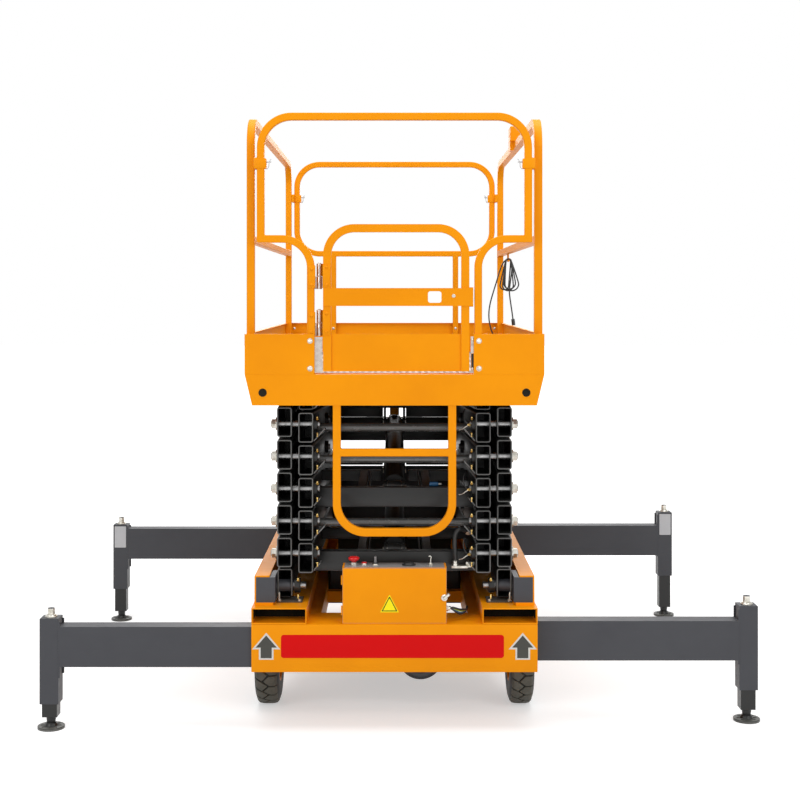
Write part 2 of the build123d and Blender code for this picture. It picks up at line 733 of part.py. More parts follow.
for stage in range(1, stages + 1):
    plane = arm_plane(stage, -1)
    low_end = short_arm_end if stage == 1 else arm_end
    high_end = short_arm_end if stage == stages else arm_end
    with BuildPart() as inner_frame:
        arm_pair(plane, inner_arm_x, low_end, high_end, [])
        # bosses across the open tube ends, and the pins out through the outer arms
        high_reach = deck_bracket_x[1] + 10 if stage == stages else pin_reach
        reaches = [((pin_s, pin_offset), high_reach), ((0, 0), pin_reach)]
        if stage > 1:
            reaches.append(((-pin_s, -pin_offset), pin_reach))
        for at, reach in reaches:
            with BuildSketch(plane.offset(inner_face)):
                with Locations(at):
                    Circle(pin_radius)
            extrude(amount=reach - inner_face)
        if stage == 1:
            roller(plane, (-pin_s, -pin_offset), inner_face)
        mirror(about=Plane.YZ)
        if stage in cylinder_stages:
            cross_tube(plane, *base_beam, base_beam[2])
            cross_tube(plane, *second_tube, second_tube[2], second_tube_gap)
            back = base_beam[0] - base_beam[2] / 2
            beam_top = base_beam[1] + base_beam[2] / 2
            second_top = second_tube[1] + second_tube[2] / 2
            for x in (strut_x, -strut_x):
                with BuildSketch(plane.offset(x - strut_side / 2)):
                    with BuildLine():
                        Polyline(
                            (back, beam_top),
                            (second_tube[0], second_top),
                            (second_tube[0], second_top - strut_side),
                            (back, beam_top - strut_side),
                            close=True,
                        )
                    make_face()
                extrude(amount=strut_side)
            root = (base_eye_s, back, -eye_radius, beam_top)
            lug_plates(plane, base_lug_x, (base_eye_s, base_eye_n), root, cylinder_pin_radius)
            with BuildSketch(plane.offset(-base_lug_x - lug_plate)):
                with Locations((base_eye_s, base_eye_n)):
                    Circle(cylinder_pin_radius)
            extrude(amount=2 * (base_lug_x + lug_plate))
        elif stage == stages:
            cross_tube(plane, *top_tube, top_tube[2])
        else:
            cross_bar(plane, *front_bar)
        low_n, high_n = rear_tube_n[stage - 1]
        carries_rod = stage - 2 in cylinder_stages
        gap = rear_tube_gap if carries_rod else 0.0
        cross_tube(plane, rear_tube_s, (low_n + high_n) / 2, rear_tube_depth, high_n - low_n, gap)
        if carries_rod:
            cross_tube(plane, *lug_beam, lug_beam[2])
            root = (rod_eye_s - 25, rod_eye_s + 25, rod_eye_n, lug_beam[1] - lug_beam[2] / 2)
            lug_plates(plane, rod_lug_x, (rod_eye_s, rod_eye_n), root, cylinder_pin_radius + 0.5)
    save(inner_frame, f"inner_frame_{stage}")

for number, stage in enumerate(cylinder_stages, 1):
    base = arm_plane(stage, -1).from_local_coords((base_eye_s, base_eye_n, 0))
    tip = arm_plane(stage + 2, -1).from_local_coords((rod_eye_s, rod_eye_n, 0))
    along = tip - base
    side_view = Plane(origin=base, x_dir=along, z_dir=(1, 0, 0))
    axis = Axis(base, along)
    tip_s = along.length
    with BuildPart() as barrel:
        with BuildSketch(side_view):
            with BuildLine():
                Polyline(
                    (barrel_start, 0),
                    (barrel_start, barrel_radius),
                    (barrel_start + barrel_length, barrel_radius),
                    (barrel_start + barrel_length, rod_radius + pin_fit),
                    (barrel_start + barrel_length - gland_length, rod_radius + pin_fit),
                    (barrel_start + barrel_length - gland_length, barrel_bore),
                    (barrel_start + barrel_head, barrel_bore),
                    (barrel_start + barrel_head, 0),
                    close=True,
                )
            make_face()
        revolve(axis=axis)
        with BuildSketch(side_view.offset(-eye_half_width)):
            Circle(eye_radius)
            with Locations((barrel_start / 2, 0)):
                Rectangle(barrel_start, 1.6 * eye_radius)
            Circle(cylinder_pin_radius + pin_fit, mode=Mode.SUBTRACT)
        extrude(amount=2 * eye_half_width)
    save(barrel, f"cylinder_barrel_{number}")
    with BuildPart() as rod:
        piston_s = barrel_start + barrel_head + 12
        with BuildSketch(side_view):
            with BuildLine():
                Polyline(
                    (piston_s, 0),
                    (piston_s, barrel_bore - pin_fit),
                    (piston_s + piston_length, barrel_bore - pin_fit),
                    (piston_s + piston_length, rod_radius),
                    (tip_s - eye_radius / 2, rod_radius),
                    (tip_s - eye_radius / 2, 0),
                    close=True,
                )
            make_face()
        revolve(axis=axis)
        with BuildSketch(side_view.offset(-eye_half_width)):
            with Locations((tip_s, 0)):
                Circle(eye_radius)
        extrude(amount=2 * eye_half_width)
        # the pin stays with the rod and stops short of the lug plates
        pin_end = rod_lug_x - lane_gap
        with BuildSketch(side_view.offset(-pin_end)):
            with Locations((tip_s, 0)):
                Circle(cylinder_pin_radius)
        extrude(amount=2 * pin_end)
    save(rod, f"cylinder_rod_{number}")

# ======================================================================= platform
with BuildPart() as platform_deck:
    # folded tray whose sides lean in towards the bottom
    for half_top, half_bottom, z_top, y_front, y_rear, mode in (
        (deck_half_width, deck_half_width - skirt_taper, floor_z, deck_front_y, deck_rear_y, Mode.ADD),
        (
            deck_half_width - skirt_plate - 1, deck_half_width - skirt_taper - skirt_plate,
            floor_z - floor_plate, deck_front_y + skirt_plate, deck_rear_y - skirt_plate, Mode.SUBTRACT,
        ),
    ):
        with BuildSketch(Plane.XZ.offset(-y_rear)):
            with BuildLine():
                Polyline(
                    (-half_top, z_top), (half_top, z_top),
                    (half_bottom, skirt_bottom_z), (-half_bottom, skirt_bottom_z), close=True,
                )
            make_face()
        extrude(amount=y_rear - y_front, mode=mode)
    # flat ribs under the floor, shallow enough for the arms to pass
    for i in range(rib_count):
        y = pivot_y + i * (roller_end_y - pivot_y) / (rib_count - 1)
        half = deck_half_width - skirt_plate - 6
        span(-half, half, y - rib_width / 2, y + rib_width / 2, rib_bottom_z, floor_z - floor_plate)
    # tread plate laid on the tray between the posts
    panel_x = deck_half_width - toe_sheet - post_side - panel_gap
    panel_y = (deck_front_y + panel_edge, deck_rear_y - panel_edge)
    span(-panel_x, panel_x, *panel_y, floor_z, floor_z + panel_plate)
save(platform_deck, "platform_deck")

highest_pin_z = lowest_pin_z + stages * stage_rise
deck_track_z = highest_pin_z + roller_radius + 0.6
track_web_x = roller_x[1] + 5
track_back_x = track_web_x + 6
track_inner_x = roller_x[0] - 5
track_lip_x = roller_x[0] + 7
with BuildPart() as platform_channels:
    for side in (-1, 1):
        # channel over the rollers, its open side inwards
        with BuildSketch(Plane.XZ.offset(-roller_end_y)):
            with BuildLine():
                Polyline(
                    (side * track_inner_x, rib_bottom_z),
                    (side * track_back_x, rib_bottom_z),
                    (side * track_back_x, deck_flange_z),
                    (side * track_lip_x, deck_flange_z),
                    (side * track_lip_x, deck_flange_z + 5),
                    (side * track_web_x, deck_flange_z + 5),
                    (side * track_web_x, deck_track_z),
                    (side * track_inner_x, deck_track_z),
                    close=True,
                )
            make_face()
        extrude(amount=roller_end_y - pivot_y - 60)
        # bracket plates round the top front pins
        x0, x1 = sorted((side * deck_bracket_x[0], side * deck_bracket_x[1]))
        with BuildSketch(Plane.YZ.offset(x0)):
            with Locations((pivot_y, (highest_pin_z - 40 + rib_bottom_z) / 2)):
                Rectangle(90, rib_bottom_z - highest_pin_z + 40)
            with Locations((pivot_y, highest_pin_z)):
                Circle(pin_radius + pin_fit, mode=Mode.SUBTRACT)
        extrude(amount=x1 - x0)
save(platform_channels, "platform_channels")

toe_top_z = floor_z + toe_height
gate_gap = (-320.0, 317.0)
inner_x = deck_half_width - toe_sheet
inner_front_y = deck_front_y + toe_sheet
inner_rear_y = deck_rear_y - toe_sheet
lip_z = toe_top_z - toe_sheet
side_post_x = (inner_x - post_side, inner_x)
end_frame_y = {"front": (inner_front_y + 2, 1), "rear": (inner_rear_y - 5, -1)}
with BuildPart() as toe_boards:
    for side in (-1, 1):
        x0, x1 = sorted((side * inner_x, side * deck_half_width))
        span(x0, x1, deck_front_y, deck_rear_y, floor_z, toe_top_z)
        x0, x1 = sorted((side * (deck_half_width - toe_lip), side * inner_x))
        span(x0, x1, deck_front_y, deck_rear_y, lip_z, toe_top_z)
    span(-inner_x, inner_x, inner_rear_y, deck_rear_y, floor_z, toe_top_z)
    span(-inner_x, inner_x, deck_rear_y - toe_lip, inner_rear_y, lip_z, toe_top_z)
    for x0, x1 in ((-inner_x, gate_gap[0]), (gate_gap[1], inner_x)):
        span(x0, x1, deck_front_y, inner_front_y, floor_z, toe_top_z)
        span(x0, x1, inner_front_y, deck_front_y + toe_lip, lip_z, toe_top_z)
    # notches in the lip for the posts
    for side in (-1, 1):
        x0, x1 = sorted((side * side_post_x[0], side * side_post_x[1]))
        for y in (side_post_front_y, side_post_rear_y - post_side):
            span(x0, x1, y, y + post_side, lip_z, toe_top_z, Mode.SUBTRACT)
        x0, x1 = sorted((side * gate_post_x, side * (gate_post_x + end_tube)))
        for y, inward in end_frame_y.values():
            y0, y1 = sorted((y, y + inward * end_tube))
            span(x0, x1, y0, y1, lip_z, toe_top_z, Mode.SUBTRACT)
save(toe_boards, "toe_boards")


def bent_tube(plane, points, radius, width, depth):
    """A square tube bent in one plane, given by its centre line."""
    with BuildSketch(plane) as face:
        with BuildLine():
            FilletPolyline(*points, radius=radius)
        trace(line_width=width)
    extrude(face.sketch, amount=depth)


# control box that sits on the right top rail, and the tongue it hooks over with
rail_box_x = (side_post_x[0] - 20, side_post_x[1] + 16)
with BuildPart() as rail_box:
    span(*rail_box_x, -55, 55, side_rail_top_z, side_rail_top_z + 72)
    fillet(rail_box.edges(), radius=6)
    span(rail_box_x[0], side_post_x[0], -45, 45, side_rail_top_z - 42, side_rail_top_z + 10)

for side, name in ((-1, "left"), (1, "right")):
    with BuildPart() as side_rail:
        x0, x1 = sorted((side * side_post_x[0], side * side_post_x[1]))
        front_c = side_post_front_y + post_side / 2
        rear_c = side_post_rear_y - post_side / 2
        top_c = side_rail_top_z - post_side / 2
        route = ((front_c, floor_z), (front_c, top_c), (rear_c, top_c), (rear_c, floor_z))
        bent_tube(Plane.YZ.offset(x0), route, side_rail_radius - post_side / 2, post_side, post_side)
        span(x0, x1, side_post_front_y + post_side, side_post_rear_y - post_side,
             mid_rail_bottom_z, mid_rail_bottom_z + mid_rail_height)
        if side == 1:
            # hook under the rail for the control lead
            hook_top_z = cord_hook[2] + hook_radius
            rod_z(cord_hook[0], cord_hook[1], cord_hook[2] - hook_radius, mid_rail_bottom_z, hook_radius)
            with BuildSketch(Plane.XZ.offset(-cord_hook[1] - hook_radius)):
                with Locations((cord_hook[0], cord_hook[2])):
                    Circle(hook_radius)
            extrude(amount=hook_reach)
            add(rail_box.part)
    save(side_rail, f"rail_{name}")

end_c = end_tube / 2
with BuildPart() as rail_front:
    back_y = end_frame_y["front"][0] + end_tube
    face = Plane.XZ.offset(-back_y)
    half_c = end_frame_half_width - end_c
    top_c = end_frame_top_z - end_c
    route = ((-half_c, mid_rail_bottom_z), (-half_c, top_c), (half_c, top_c), (half_c, mid_rail_bottom_z))
    bent_tube(face, route, end_frame_radius - end_c, end_tube, end_tube)
    for side in (-1, 1):
        post_c = side * (gate_post_x + end_c)
        low_c = mid_rail_bottom_z + end_c
        route = ((side * (half_c - end_c), low_c), (post_c, low_c), (post_c, floor_z))
        bent_tube(face, route, 115, end_tube, end_tube)
        # sleeve bracket to the side post
        x0, x1 = sorted((side * end_frame_half_width, side * side_post_x[0]))
        span(x0, x1, end_frame_y["front"][0], side_post_front_y + post_side, *bracket_z)
save(rail_front, "rail_front")

with BuildPart() as rail_rear:
    face = Plane.XZ.offset(-end_frame_y["rear"][0])
    with BuildSketch(face):
        with Locations((0, (mid_rail_bottom_z + end_frame_top_z) / 2)):
            height = end_frame_top_z - mid_rail_bottom_z
            RectangleRounded(2 * end_frame_half_width, height, end_frame_radius)
            RectangleRounded(2 * (end_frame_half_width - end_tube), height - 2 * end_tube,
                             end_frame_radius - end_tube, mode=Mode.SUBTRACT)
    extrude(amount=end_tube)
    for side in (-1, 1):
        x0, x1 = sorted((side * gate_post_x, side * (gate_post_x + end_tube)))
        span(x0, x1, end_frame_y["rear"][0] - end_tube, end_frame_y["rear"][0], floor_z, mid_rail_bottom_z)
        x0, x1 = sorted((side * end_frame_half_width, side * side_post_x[0]))
        span(x0, x1, side_post_rear_y - post_side, end_frame_y["rear"][0], *bracket_z)
save(rail_rear, "rail_rear")

gate_x = (-286.0, 300.0)
gate_bottom_z = 1426.0
gate_top_z = 2016.0
gate_radius = 125.0
gate_front_y = inner_front_y + 1
gate_back_y = gate_front_y + post_side
latch_end_x = 315.0
gate_bar_z = (1688.0, 1760.0)
hinge_x = -302.0
gate_hinge_y = gate_front_y + 24
hinge_radius = 11.0
hinge_pin = 5.0
hinge_spans = ((1568.0, 1672.0), (1756.0, 1858.0))
with BuildPart() as gate:
    x0, x1 = gate_x
    half = post_side / 2
    route = ((x0 + half, gate_bottom_z), (x0 + half, gate_top_z - half),
             (x1 - half, gate_top_z - half), (x1 - half, gate_bottom_z))
    bent_tube(Plane.XZ.offset(-gate_back_y), route, gate_radius - half, post_side, post_side)
    span(x0 + post_side, x1 - post_side, gate_front_y + 8, gate_front_y + 11, gate_bottom_z, toe_top_z)
    # flat bar that ends in the latch, with its finger slot
    with BuildSketch(Plane.XZ.offset(-gate_front_y)):
        with Locations(((x0 + latch_end_x) / 2, sum(gate_bar_z) / 2)):
            Rectangle(latch_end_x - x0, gate_bar_z[1] - gate_bar_z[0])
        with Locations((161, sum(gate_bar_z) / 2)):
            RectangleRounded(54, 46, 10, mode=Mode.SUBTRACT)
    extrude(amount=4)
    # upper halves of the lift-off hinges
    for z0, z1 in hinge_spans:
        mid = (z0 + z1) / 2 + 0.5
        rod_z(hinge_x, gate_hinge_y, mid, z1, hinge_radius)
        span(hinge_x, x0, gate_hinge_y - 2, gate_hinge_y + 2, mid, z1)
        rod_z(hinge_x, gate_hinge_y, mid, z1 - 10, hinge_pin + pin_fit, Mode.SUBTRACT)
save(gate, "gate")

with BuildPart() as gate_hinges:
    for z0, z1 in hinge_spans:
        mid = (z0 + z1) / 2 - 0.5
        rod_z(hinge_x, gate_hinge_y, z0, mid, hinge_radius)
        rod_z(hinge_x, gate_hinge_y, mid, z1 - 12, hinge_pin)
        span(-gate_post_x, hinge_x, gate_hinge_y - 2, gate_hinge_y + 2, z0, mid)
save(gate_hinges, "gate_hinges")

with BuildPart() as ladder:
    half_c = ladder_half_width - post_side / 2
    low_c = ladder_bottom_z + post_side / 2
    face = Plane.XZ.offset(-(deck_front_y + skirt_plate + post_side))
    route = ((-half_c, ladder_top_z), (-half_c, low_c), (half_c, low_c), (half_c, ladder_top_z))
    bent_tube(face, route, ladder_radius - post_side / 2, post_side, post_side)
    inner = half_c - post_side / 2
    span(-inner, inner, deck_front_y + skirt_plate, deck_front_y + skirt_plate + post_side,
         ladder_rung_z - 15, ladder_rung_z + 15)
save(ladder, "ladder")

# ======================================================================= control lead
def cord_run(points):
    """Straight runs joined by arcs, each as large as its two runs allow."""
    corners = []
    for before, at, after in zip(points, points[1:], points[2:]):
        into = Vector(*at) - Vector(*before)
        out = Vector(*after) - Vector(*at)
        turn = radians(into.get_angle(out))
        corners.append(0.45 * min(into.length, out.length) / tan(turn / 2))
    with BuildLine() as route:
        FilletPolyline(*points, radius=corners)
    with BuildSketch(Plane(origin=points[0], z_dir=Vector(*points[1]) - Vector(*points[0]))) as face:
        Circle(cord_radius)
    sweep(face.sketch, path=route.wire())
    print("cord radii", [round(r) for r in corners], "length", round(route.wire().length))


with BuildPart() as cord_lines:
    cord_run(lead_route)
    cord_run(tail_route)
save(cord_lines, "cord_lines")

with BuildPart() as cord_coil:
    with BuildSketch(Plane.XZ.offset(-coil_y[1])):
        with Locations((coil_centre[0], coil_centre[1])):
            Ellipse(*coil_outer)
            Ellipse(coil_outer[0] - coil_band, coil_outer[1] - coil_band, mode=Mode.SUBTRACT)
    extrude(amount=coil_y[1] - coil_y[0])
save(cord_coil, "cord_coil")

plug_top = Vector(*tail_route[-1])
with BuildPart() as cord_plug:
    with BuildSketch(Plane(origin=plug_top, z_dir=plug_top - Vector(*tail_route[-2]))):
        Circle(9)
    extrude(amount=32)
save(cord_plug, "cord_plug")

with BuildPart() as cord_gland:
    start = lead_route[0]
    rod_x(start[0], inner_x, start[1], start[2], 9)
save(cord_gland, "cord_gland")
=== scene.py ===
import bmesh
import bpy
import random
from math import atan2, cos, pi, radians, sin
from mathutils import Matrix, Vector


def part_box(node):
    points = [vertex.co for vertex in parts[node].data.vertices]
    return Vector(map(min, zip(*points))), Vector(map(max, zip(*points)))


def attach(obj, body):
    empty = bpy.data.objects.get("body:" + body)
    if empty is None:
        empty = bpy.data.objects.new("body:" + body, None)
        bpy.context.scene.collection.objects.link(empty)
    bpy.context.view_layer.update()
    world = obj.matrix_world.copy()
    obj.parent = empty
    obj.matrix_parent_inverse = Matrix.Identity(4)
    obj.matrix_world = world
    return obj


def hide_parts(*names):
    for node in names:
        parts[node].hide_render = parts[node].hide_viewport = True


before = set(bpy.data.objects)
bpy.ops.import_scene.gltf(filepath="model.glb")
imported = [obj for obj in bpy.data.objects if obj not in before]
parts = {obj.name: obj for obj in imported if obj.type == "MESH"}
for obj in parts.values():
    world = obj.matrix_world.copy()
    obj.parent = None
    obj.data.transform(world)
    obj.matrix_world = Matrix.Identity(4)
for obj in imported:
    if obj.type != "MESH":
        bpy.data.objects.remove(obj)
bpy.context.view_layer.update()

# ---------------------------------------------------------------- camera, floor and lamps
# A long lens straight on to the gate end, at eye height, on a pale studio floor. Large soft
# lamps stand overhead and to both sides of the camera, and the room behind them is white.
eye = Vector((0.0, -6.65, 1.738))
lens_data = bpy.data.cameras.new("lens")
lens_data.lens = 63.0
lens_data.sensor_width = 36.0
lens_data.shift_x = 0.0069
lens_data.shift_y = -0.1331
camera = bpy.data.objects.new("camera", lens_data)
camera.location = eye
camera.rotation_euler = (radians(90), 0, 0)
bpy.context.scene.collection.objects.link(camera)
bpy.context.scene.camera = camera
bpy.context.scene.view_settings.view_transform = "Standard"


def new_node(tree, kind, values={}, **settings):
    """One shader node: settings are its own choices, values go to its sockets by name or number."""
    node = tree.nodes.new("ShaderNode" + kind)
    for key, value in settings.items():
        setattr(node, key, value)
    for socket, value in values.items():
        if isinstance(value, bpy.types.NodeSocket):
            tree.links.new(value, node.inputs[socket])
        else:
            node.inputs[socket].default_value = value
    return node


def show_to_camera(tree):
    """1 for what the camera, a mirror or a glass sees, and 0 for what lights the object."""
    ray = new_node(tree, "LightPath")
    seen = new_node(tree, "Math", {0: ray.outputs["Is Camera Ray"], 1: ray.outputs["Is Glossy Ray"]},
                    operation="MAXIMUM")
    return new_node(tree, "Math", {0: seen.outputs[0], 1: ray.outputs["Is Transmission Ray"]}, operation="MAXIMUM")


room = bpy.data.worlds.new("studio")
room.use_nodes = True
bpy.context.scene.world = room
room_tree = room.node_tree
room_tree.nodes.clear()
room_light = new_node(room_tree, "Background", {"Color": (1, 1, 1, 1), "Strength": 0.46})
room_white = new_node(room_tree, "Background", {"Color": (1, 1, 1, 1), "Strength": 1.0})
room_mix = new_node(room_tree, "MixShader", {0: show_to_camera(room_tree).outputs[0], 1: room_light.outputs[0],
                                             2: room_white.outputs[0]})
new_node(room_tree, "OutputWorld", {"Surface": room_mix.outputs[0]})

floor_paint = bpy.data.materials.new("studio_floor")
floor_paint.use_nodes = True
floor_tree = floor_paint.node_tree
floor_tree.nodes.clear()
floor_matt = new_node(floor_tree, "BsdfDiffuse", {"Color": (0.72, 0.72, 0.72, 1)})
floor_seen = show_to_camera(floor_tree)
floor_place = new_node(floor_tree, "TexCoord")
floor_reach = new_node(floor_tree, "VectorMath", {0: floor_place.outputs["Object"]}, operation="LENGTH")
floor_fade = new_node(floor_tree, "MapRange", {0: floor_reach.outputs["Value"], 1: 1.6, 2: 4.5, 3: 0.45, 4: 1.0})
floor_lift = new_node(floor_tree, "Math", {0: floor_seen.outputs[0], 1: floor_fade.outputs[0]}, operation="MULTIPLY")
floor_glow = new_node(floor_tree, "Emission", {"Color": (1, 1, 1, 1), "Strength": floor_lift.outputs[0]})
floor_sum = new_node(floor_tree, "AddShader", {0: floor_matt.outputs[0], 1: floor_glow.outputs[0]})
new_node(floor_tree, "OutputMaterial", {"Surface": floor_sum.outputs[0]})
floor_half = 40.0
floor_mesh = bpy.data.meshes.new("floor")
floor_mesh.from_pydata([(x, y, 0) for x, y in ((-1, -1), (1, -1), (1, 1), (-1, 1))], [], [(0, 1, 2, 3)])
floor_mesh.transform(Matrix.Scale(floor_half, 4))
floor = bpy.data.objects.new("floor", floor_mesh)
floor_mesh.materials.append(floor_paint)
bpy.context.scene.collection.objects.link(floor)

# name, place, what it looks at, width, height, watts
for name, place, target, width, height, watts in (
    ("overhead", (0.0, -0.6, 6.0), (0, 0, 0), 5.0, 5.0, 240),
    ("left_front", (-4.2, -6.0, 3.4), (0, 0, 1.2), 3.0, 3.0, 140),
    ("right_front", (4.2, -6.0, 3.4), (0, 0, 1.2), 3.0, 3.0, 140),
    ("behind", (0.0, 6.5, 4.0), (0, 0, 1.0), 4.0, 3.0, 130),
):
    lamp_data = bpy.data.lights.new(name, "AREA")
    lamp_data.shape = "RECTANGLE"
    lamp_data.size = width
    lamp_data.size_y = height
    lamp_data.energy = watts
    lamp = bpy.data.objects.new(name, lamp_data)
    lamp.location = place
    lamp.rotation_euler = (Vector(target) - Vector(place)).to_track_quat("-Z", "Y").to_euler()
    bpy.context.scene.collection.objects.link(lamp)

# ---------------------------------------------------------------- control lead
# A thin rubber lead comes up out of a gland in the right toe board, is thrown over the hook under
# the mid rail in four loose loops, and its tail hangs through them to a small plug.
lead_thick = 0.007
lead_up = [
    (0.568, 0.560, 1.476), (0.535, 0.560, 1.484), (0.508, 0.559, 1.522), (0.490, 0.557, 1.575),
    (0.484, 0.554, 1.630), (0.491, 0.551, 1.686), (0.507, 0.548, 1.742), (0.524, 0.545, 1.797),
    (0.540, 0.543, 1.852), (0.556, 0.542, 1.895),
]
lead_tail = [
    (0.588, 0.527, 1.750), (0.592, 0.528, 1.715), (0.598, 0.531, 1.675), (0.604, 0.535, 1.638),
    (0.608, 0.538, 1.607),
]
hook_x, hook_top = 0.585, 1.9165
loop_pitch = 0.0073
crown = 0.016
first_loop_y = 0.5525
# each loop: half width of its bottom, how far it hangs to the right, height of its bottom
loops = ((0.023, -0.020, 1.757), (0.028, -0.002, 1.752), (0.036, 0.017, 1.7515), (0.031, 0.005, 1.761))
route = list(lead_up)
for turn, (half, aside, low) in enumerate(loops):
    arcs = [(hook_x, hook_top - crown, crown, angle) for angle in range(-60, 61, 30)]
    arcs += [(hook_x + aside, low + half, half, angle) for angle in range(80, 281, 25)]
    for step, (x, z, reach, angle) in enumerate(arcs):
        y = first_loop_y - loop_pitch * (turn + step / len(arcs))
        route.append((x + reach * sin(radians(angle)), y, z + reach * cos(radians(angle))))
last_y = first_loop_y - loop_pitch * len(loops)
route += [(0.569, last_y, 1.906), (0.581, last_y, 1.9165), (0.594, last_y, 1.911), (0.602, last_y, 1.888),
          (0.601, last_y, 1.850), (0.594, last_y, 1.800)]
route += lead_tail
lead_curve = bpy.data.curves.new("lead", "CURVE")
lead_curve.dimensions = "3D"
lead_spline = lead_curve.splines.new("NURBS")
lead_spline.points.add(len(route) - 1)
for point, place in zip(lead_spline.points, route):
    point.co = (*place, 1)
    point.radius = lead_thick / 2
lead_spline.order_u = 3
lead_spline.use_endpoint_u = True
lead_spline.resolution_u = 6
lead_curve.bevel_depth = 1.0
lead_curve.bevel_resolution = 4
lead = bpy.data.objects.new("lead", lead_curve)
bpy.context.scene.collection.objects.link(lead)
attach(lead, "platform")
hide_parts("cord_lines", "cord_coil")

# ---------------------------------------------------------------- sprayed paint
# Frames and panels are welded up, shot-blasted and powder coated: golden yellow for the chassis,
# platform and rails, near black for the scissor, dark grey for the outriggers and axles.


def new_group(name, inputs, outputs):
    """An empty node group. Inputs are (name, kind, default), outputs are (name, kind)."""
    group = bpy.data.node_groups.new(name, "ShaderNodeTree")
    for label, kind, default in inputs:
        socket = group.interface.new_socket(label, in_out="INPUT", socket_type="NodeSocket" + kind)
        if default is not None:
            socket.default_value = default
    for label, kind in outputs:
        group.interface.new_socket(label, in_out="OUTPUT", socket_type="NodeSocket" + kind)
    return group, group.nodes.new("NodeGroupInput"), group.nodes.new("NodeGroupOutput")


# cloudy film thickness, a fine orange peel, and scuffs that dull the gloss in streaks
sprayed_coat, given, result = new_group(
    "sprayed_coat",
    (("Place", "Vector", None), ("Paint", "Color", (1, 1, 1, 1)), ("Thin paint", "Color", (1, 1, 1, 1)),
     ("Gloss", "Float", 0.35), ("Peel", "Float", 0.1)),
    (("Colour", "Color"), ("Roughness", "Float"), ("Normal", "Vector")),
)
tree = sprayed_coat
cloud = new_node(tree, "TexNoise", {"Vector": given.outputs["Place"], "Scale": 2.3, "Detail": 4.0, "Roughness": 0.6})
cloud_mask = new_node(tree, "MapRange", {0: cloud.outputs[0], 1: 0.38, 2: 0.66})
film = new_node(tree, "Mix", {0: cloud_mask.outputs[0], 6: given.outputs["Paint"], 7: given.outputs["Thin paint"]},
                data_type="RGBA")
streaks = new_node(tree, "Mapping", {0: given.outputs["Place"], 3: (14.0, 60.0, 60.0)})
scuffs = new_node(tree, "TexNoise", {"Vector": streaks.outputs[0], "Scale": 1.0, "Detail": 5.0, "Roughness": 0.7})
scuff_mask = new_node(tree, "MapRange", {0: scuffs.outputs[0], 1: 0.5, 2: 0.75, 3: 0.0, 4: 0.16})
gloss = new_node(tree, "Math", {0: given.outputs["Gloss"], 1: scuff_mask.outputs[0]}, operation="ADD")
peel = new_node(tree, "TexNoise", {"Vector": given.outputs["Place"], "Scale": 420.0, "Detail": 2.0})
wave = new_node(tree, "TexNoise", {"Vector": given.outputs["Place"], "Scale": 9.0, "Detail": 2.0})
wave_height = new_node(tree, "Math", {0: wave.outputs[0], 1: 3.0}, operation="MULTIPLY")
surface = new_node(tree, "Math", {0: peel.outputs[0], 1: wave_height.outputs[0]}, operation="ADD")
bump = new_node(tree, "Bump", {"Height": surface.outputs[0], "Strength": given.outputs["Peel"], "Distance": 0.0012})
for label, socket in (("Colour", film.outputs[2]), ("Roughness", gloss.outputs[0]), ("Normal", bump.outputs[0])):
    tree.links.new(socket, result.inputs[label])


def new_material(name):
    material = bpy.data.materials.new(name)
    material.use_nodes = True
    material.node_tree.nodes.clear()
    return material, material.node_tree


def finish_material(tree, shader_values):
    """The shader itself, with the values and links of this finish."""
    shader = new_node(tree, "BsdfPrincipled", shader_values)
    new_node(tree, "OutputMaterial", {"Surface": shader.outputs[0]})
    return shader


def coat(name, paint, thin, gloss, peel, specular):
    material, tree = new_material(name)
    place = new_node(tree, "TexCoord")
    spray = new_node(tree, "Group", node_tree=sprayed_coat)
    tree.links.new(place.outputs["Object"], spray.inputs["Place"])
    for label, value in (("Paint", (*paint, 1)), ("Thin paint", (*thin, 1)), ("Gloss", gloss), ("Peel", peel)):
        spray.inputs[label].default_value = value
    finish_material(tree, {"Base Color": spray.outputs["Colour"], "Roughness": spray.outputs["Roughness"],
                           "Normal": spray.outputs["Normal"], "Specular IOR Level": specular})
    return material


yellow_coat = coat("yellow_coat", (0.86, 0.300, 0.002), (0.80, 0.268, 0.002), 0.40, 0.03, 0.10)
black_coat = coat("black_coat", (0.009, 0.009, 0.009), (0.014, 0.014, 0.013), 0.34, 0.03, 0.4)
grey_coat = coat("grey_coat", (0.042, 0.043, 0.050), (0.050, 0.052, 0.059), 0.45, 0.05, 0.35)


def clothe(material, names, eased=0.0025):
    """Puts a finish on CAD nodes and rounds their edges as a tube mill or a grinder leaves them."""
    for name in names:
        node = parts[name]
        node.data.materials.clear()
        node.data.materials.append(material)
        if eased:
            weld = node.modifiers.new("weld", "WELD")
            weld.merge_threshold = 1e-5
            ease = node.modifiers.new("ease", "BEVEL")
            ease.width = eased
            ease.segments = 2
            ease.limit_method = "ANGLE"
            ease.angle_limit = radians(40)
            ease.harden_normals = True


scissor_stages = range(1, 7)
corners = [f"{end}_{side}" for end in ("front", "rear") for side in ("left", "right")]
clothe(yellow_coat, (
    "chassis_frame", "control_box", "drawbar", "drawbar_swivel"))
clothe(yellow_coat, ("front_box", "rear_box"), 0)
clothe(yellow_coat, ("rail_left", "rail_right", "rail_front", "rail_rear", "gate", "ladder"), 0.004)
clothe(yellow_coat, ("platform_deck", "toe_boards", "platform_channels", "roller_channels"), 0.0008)
clothe(grey_coat, ["pivot_blocks", "axles", "knuckle_left", "knuckle_right", "steering_link",
                   *("outrigger_" + corner for corner in corners)], 0.004)
clothe(black_coat, ["power_unit", *("jack_" + corner for corner in corners),
                    *(f"outer_arms_{stage}" for stage in scissor_stages),
                    *(f"inner_frame_{stage}" for stage in scissor_stages),
                    *(f"cylinder_barrel_{number}" for number in (1, 2))])

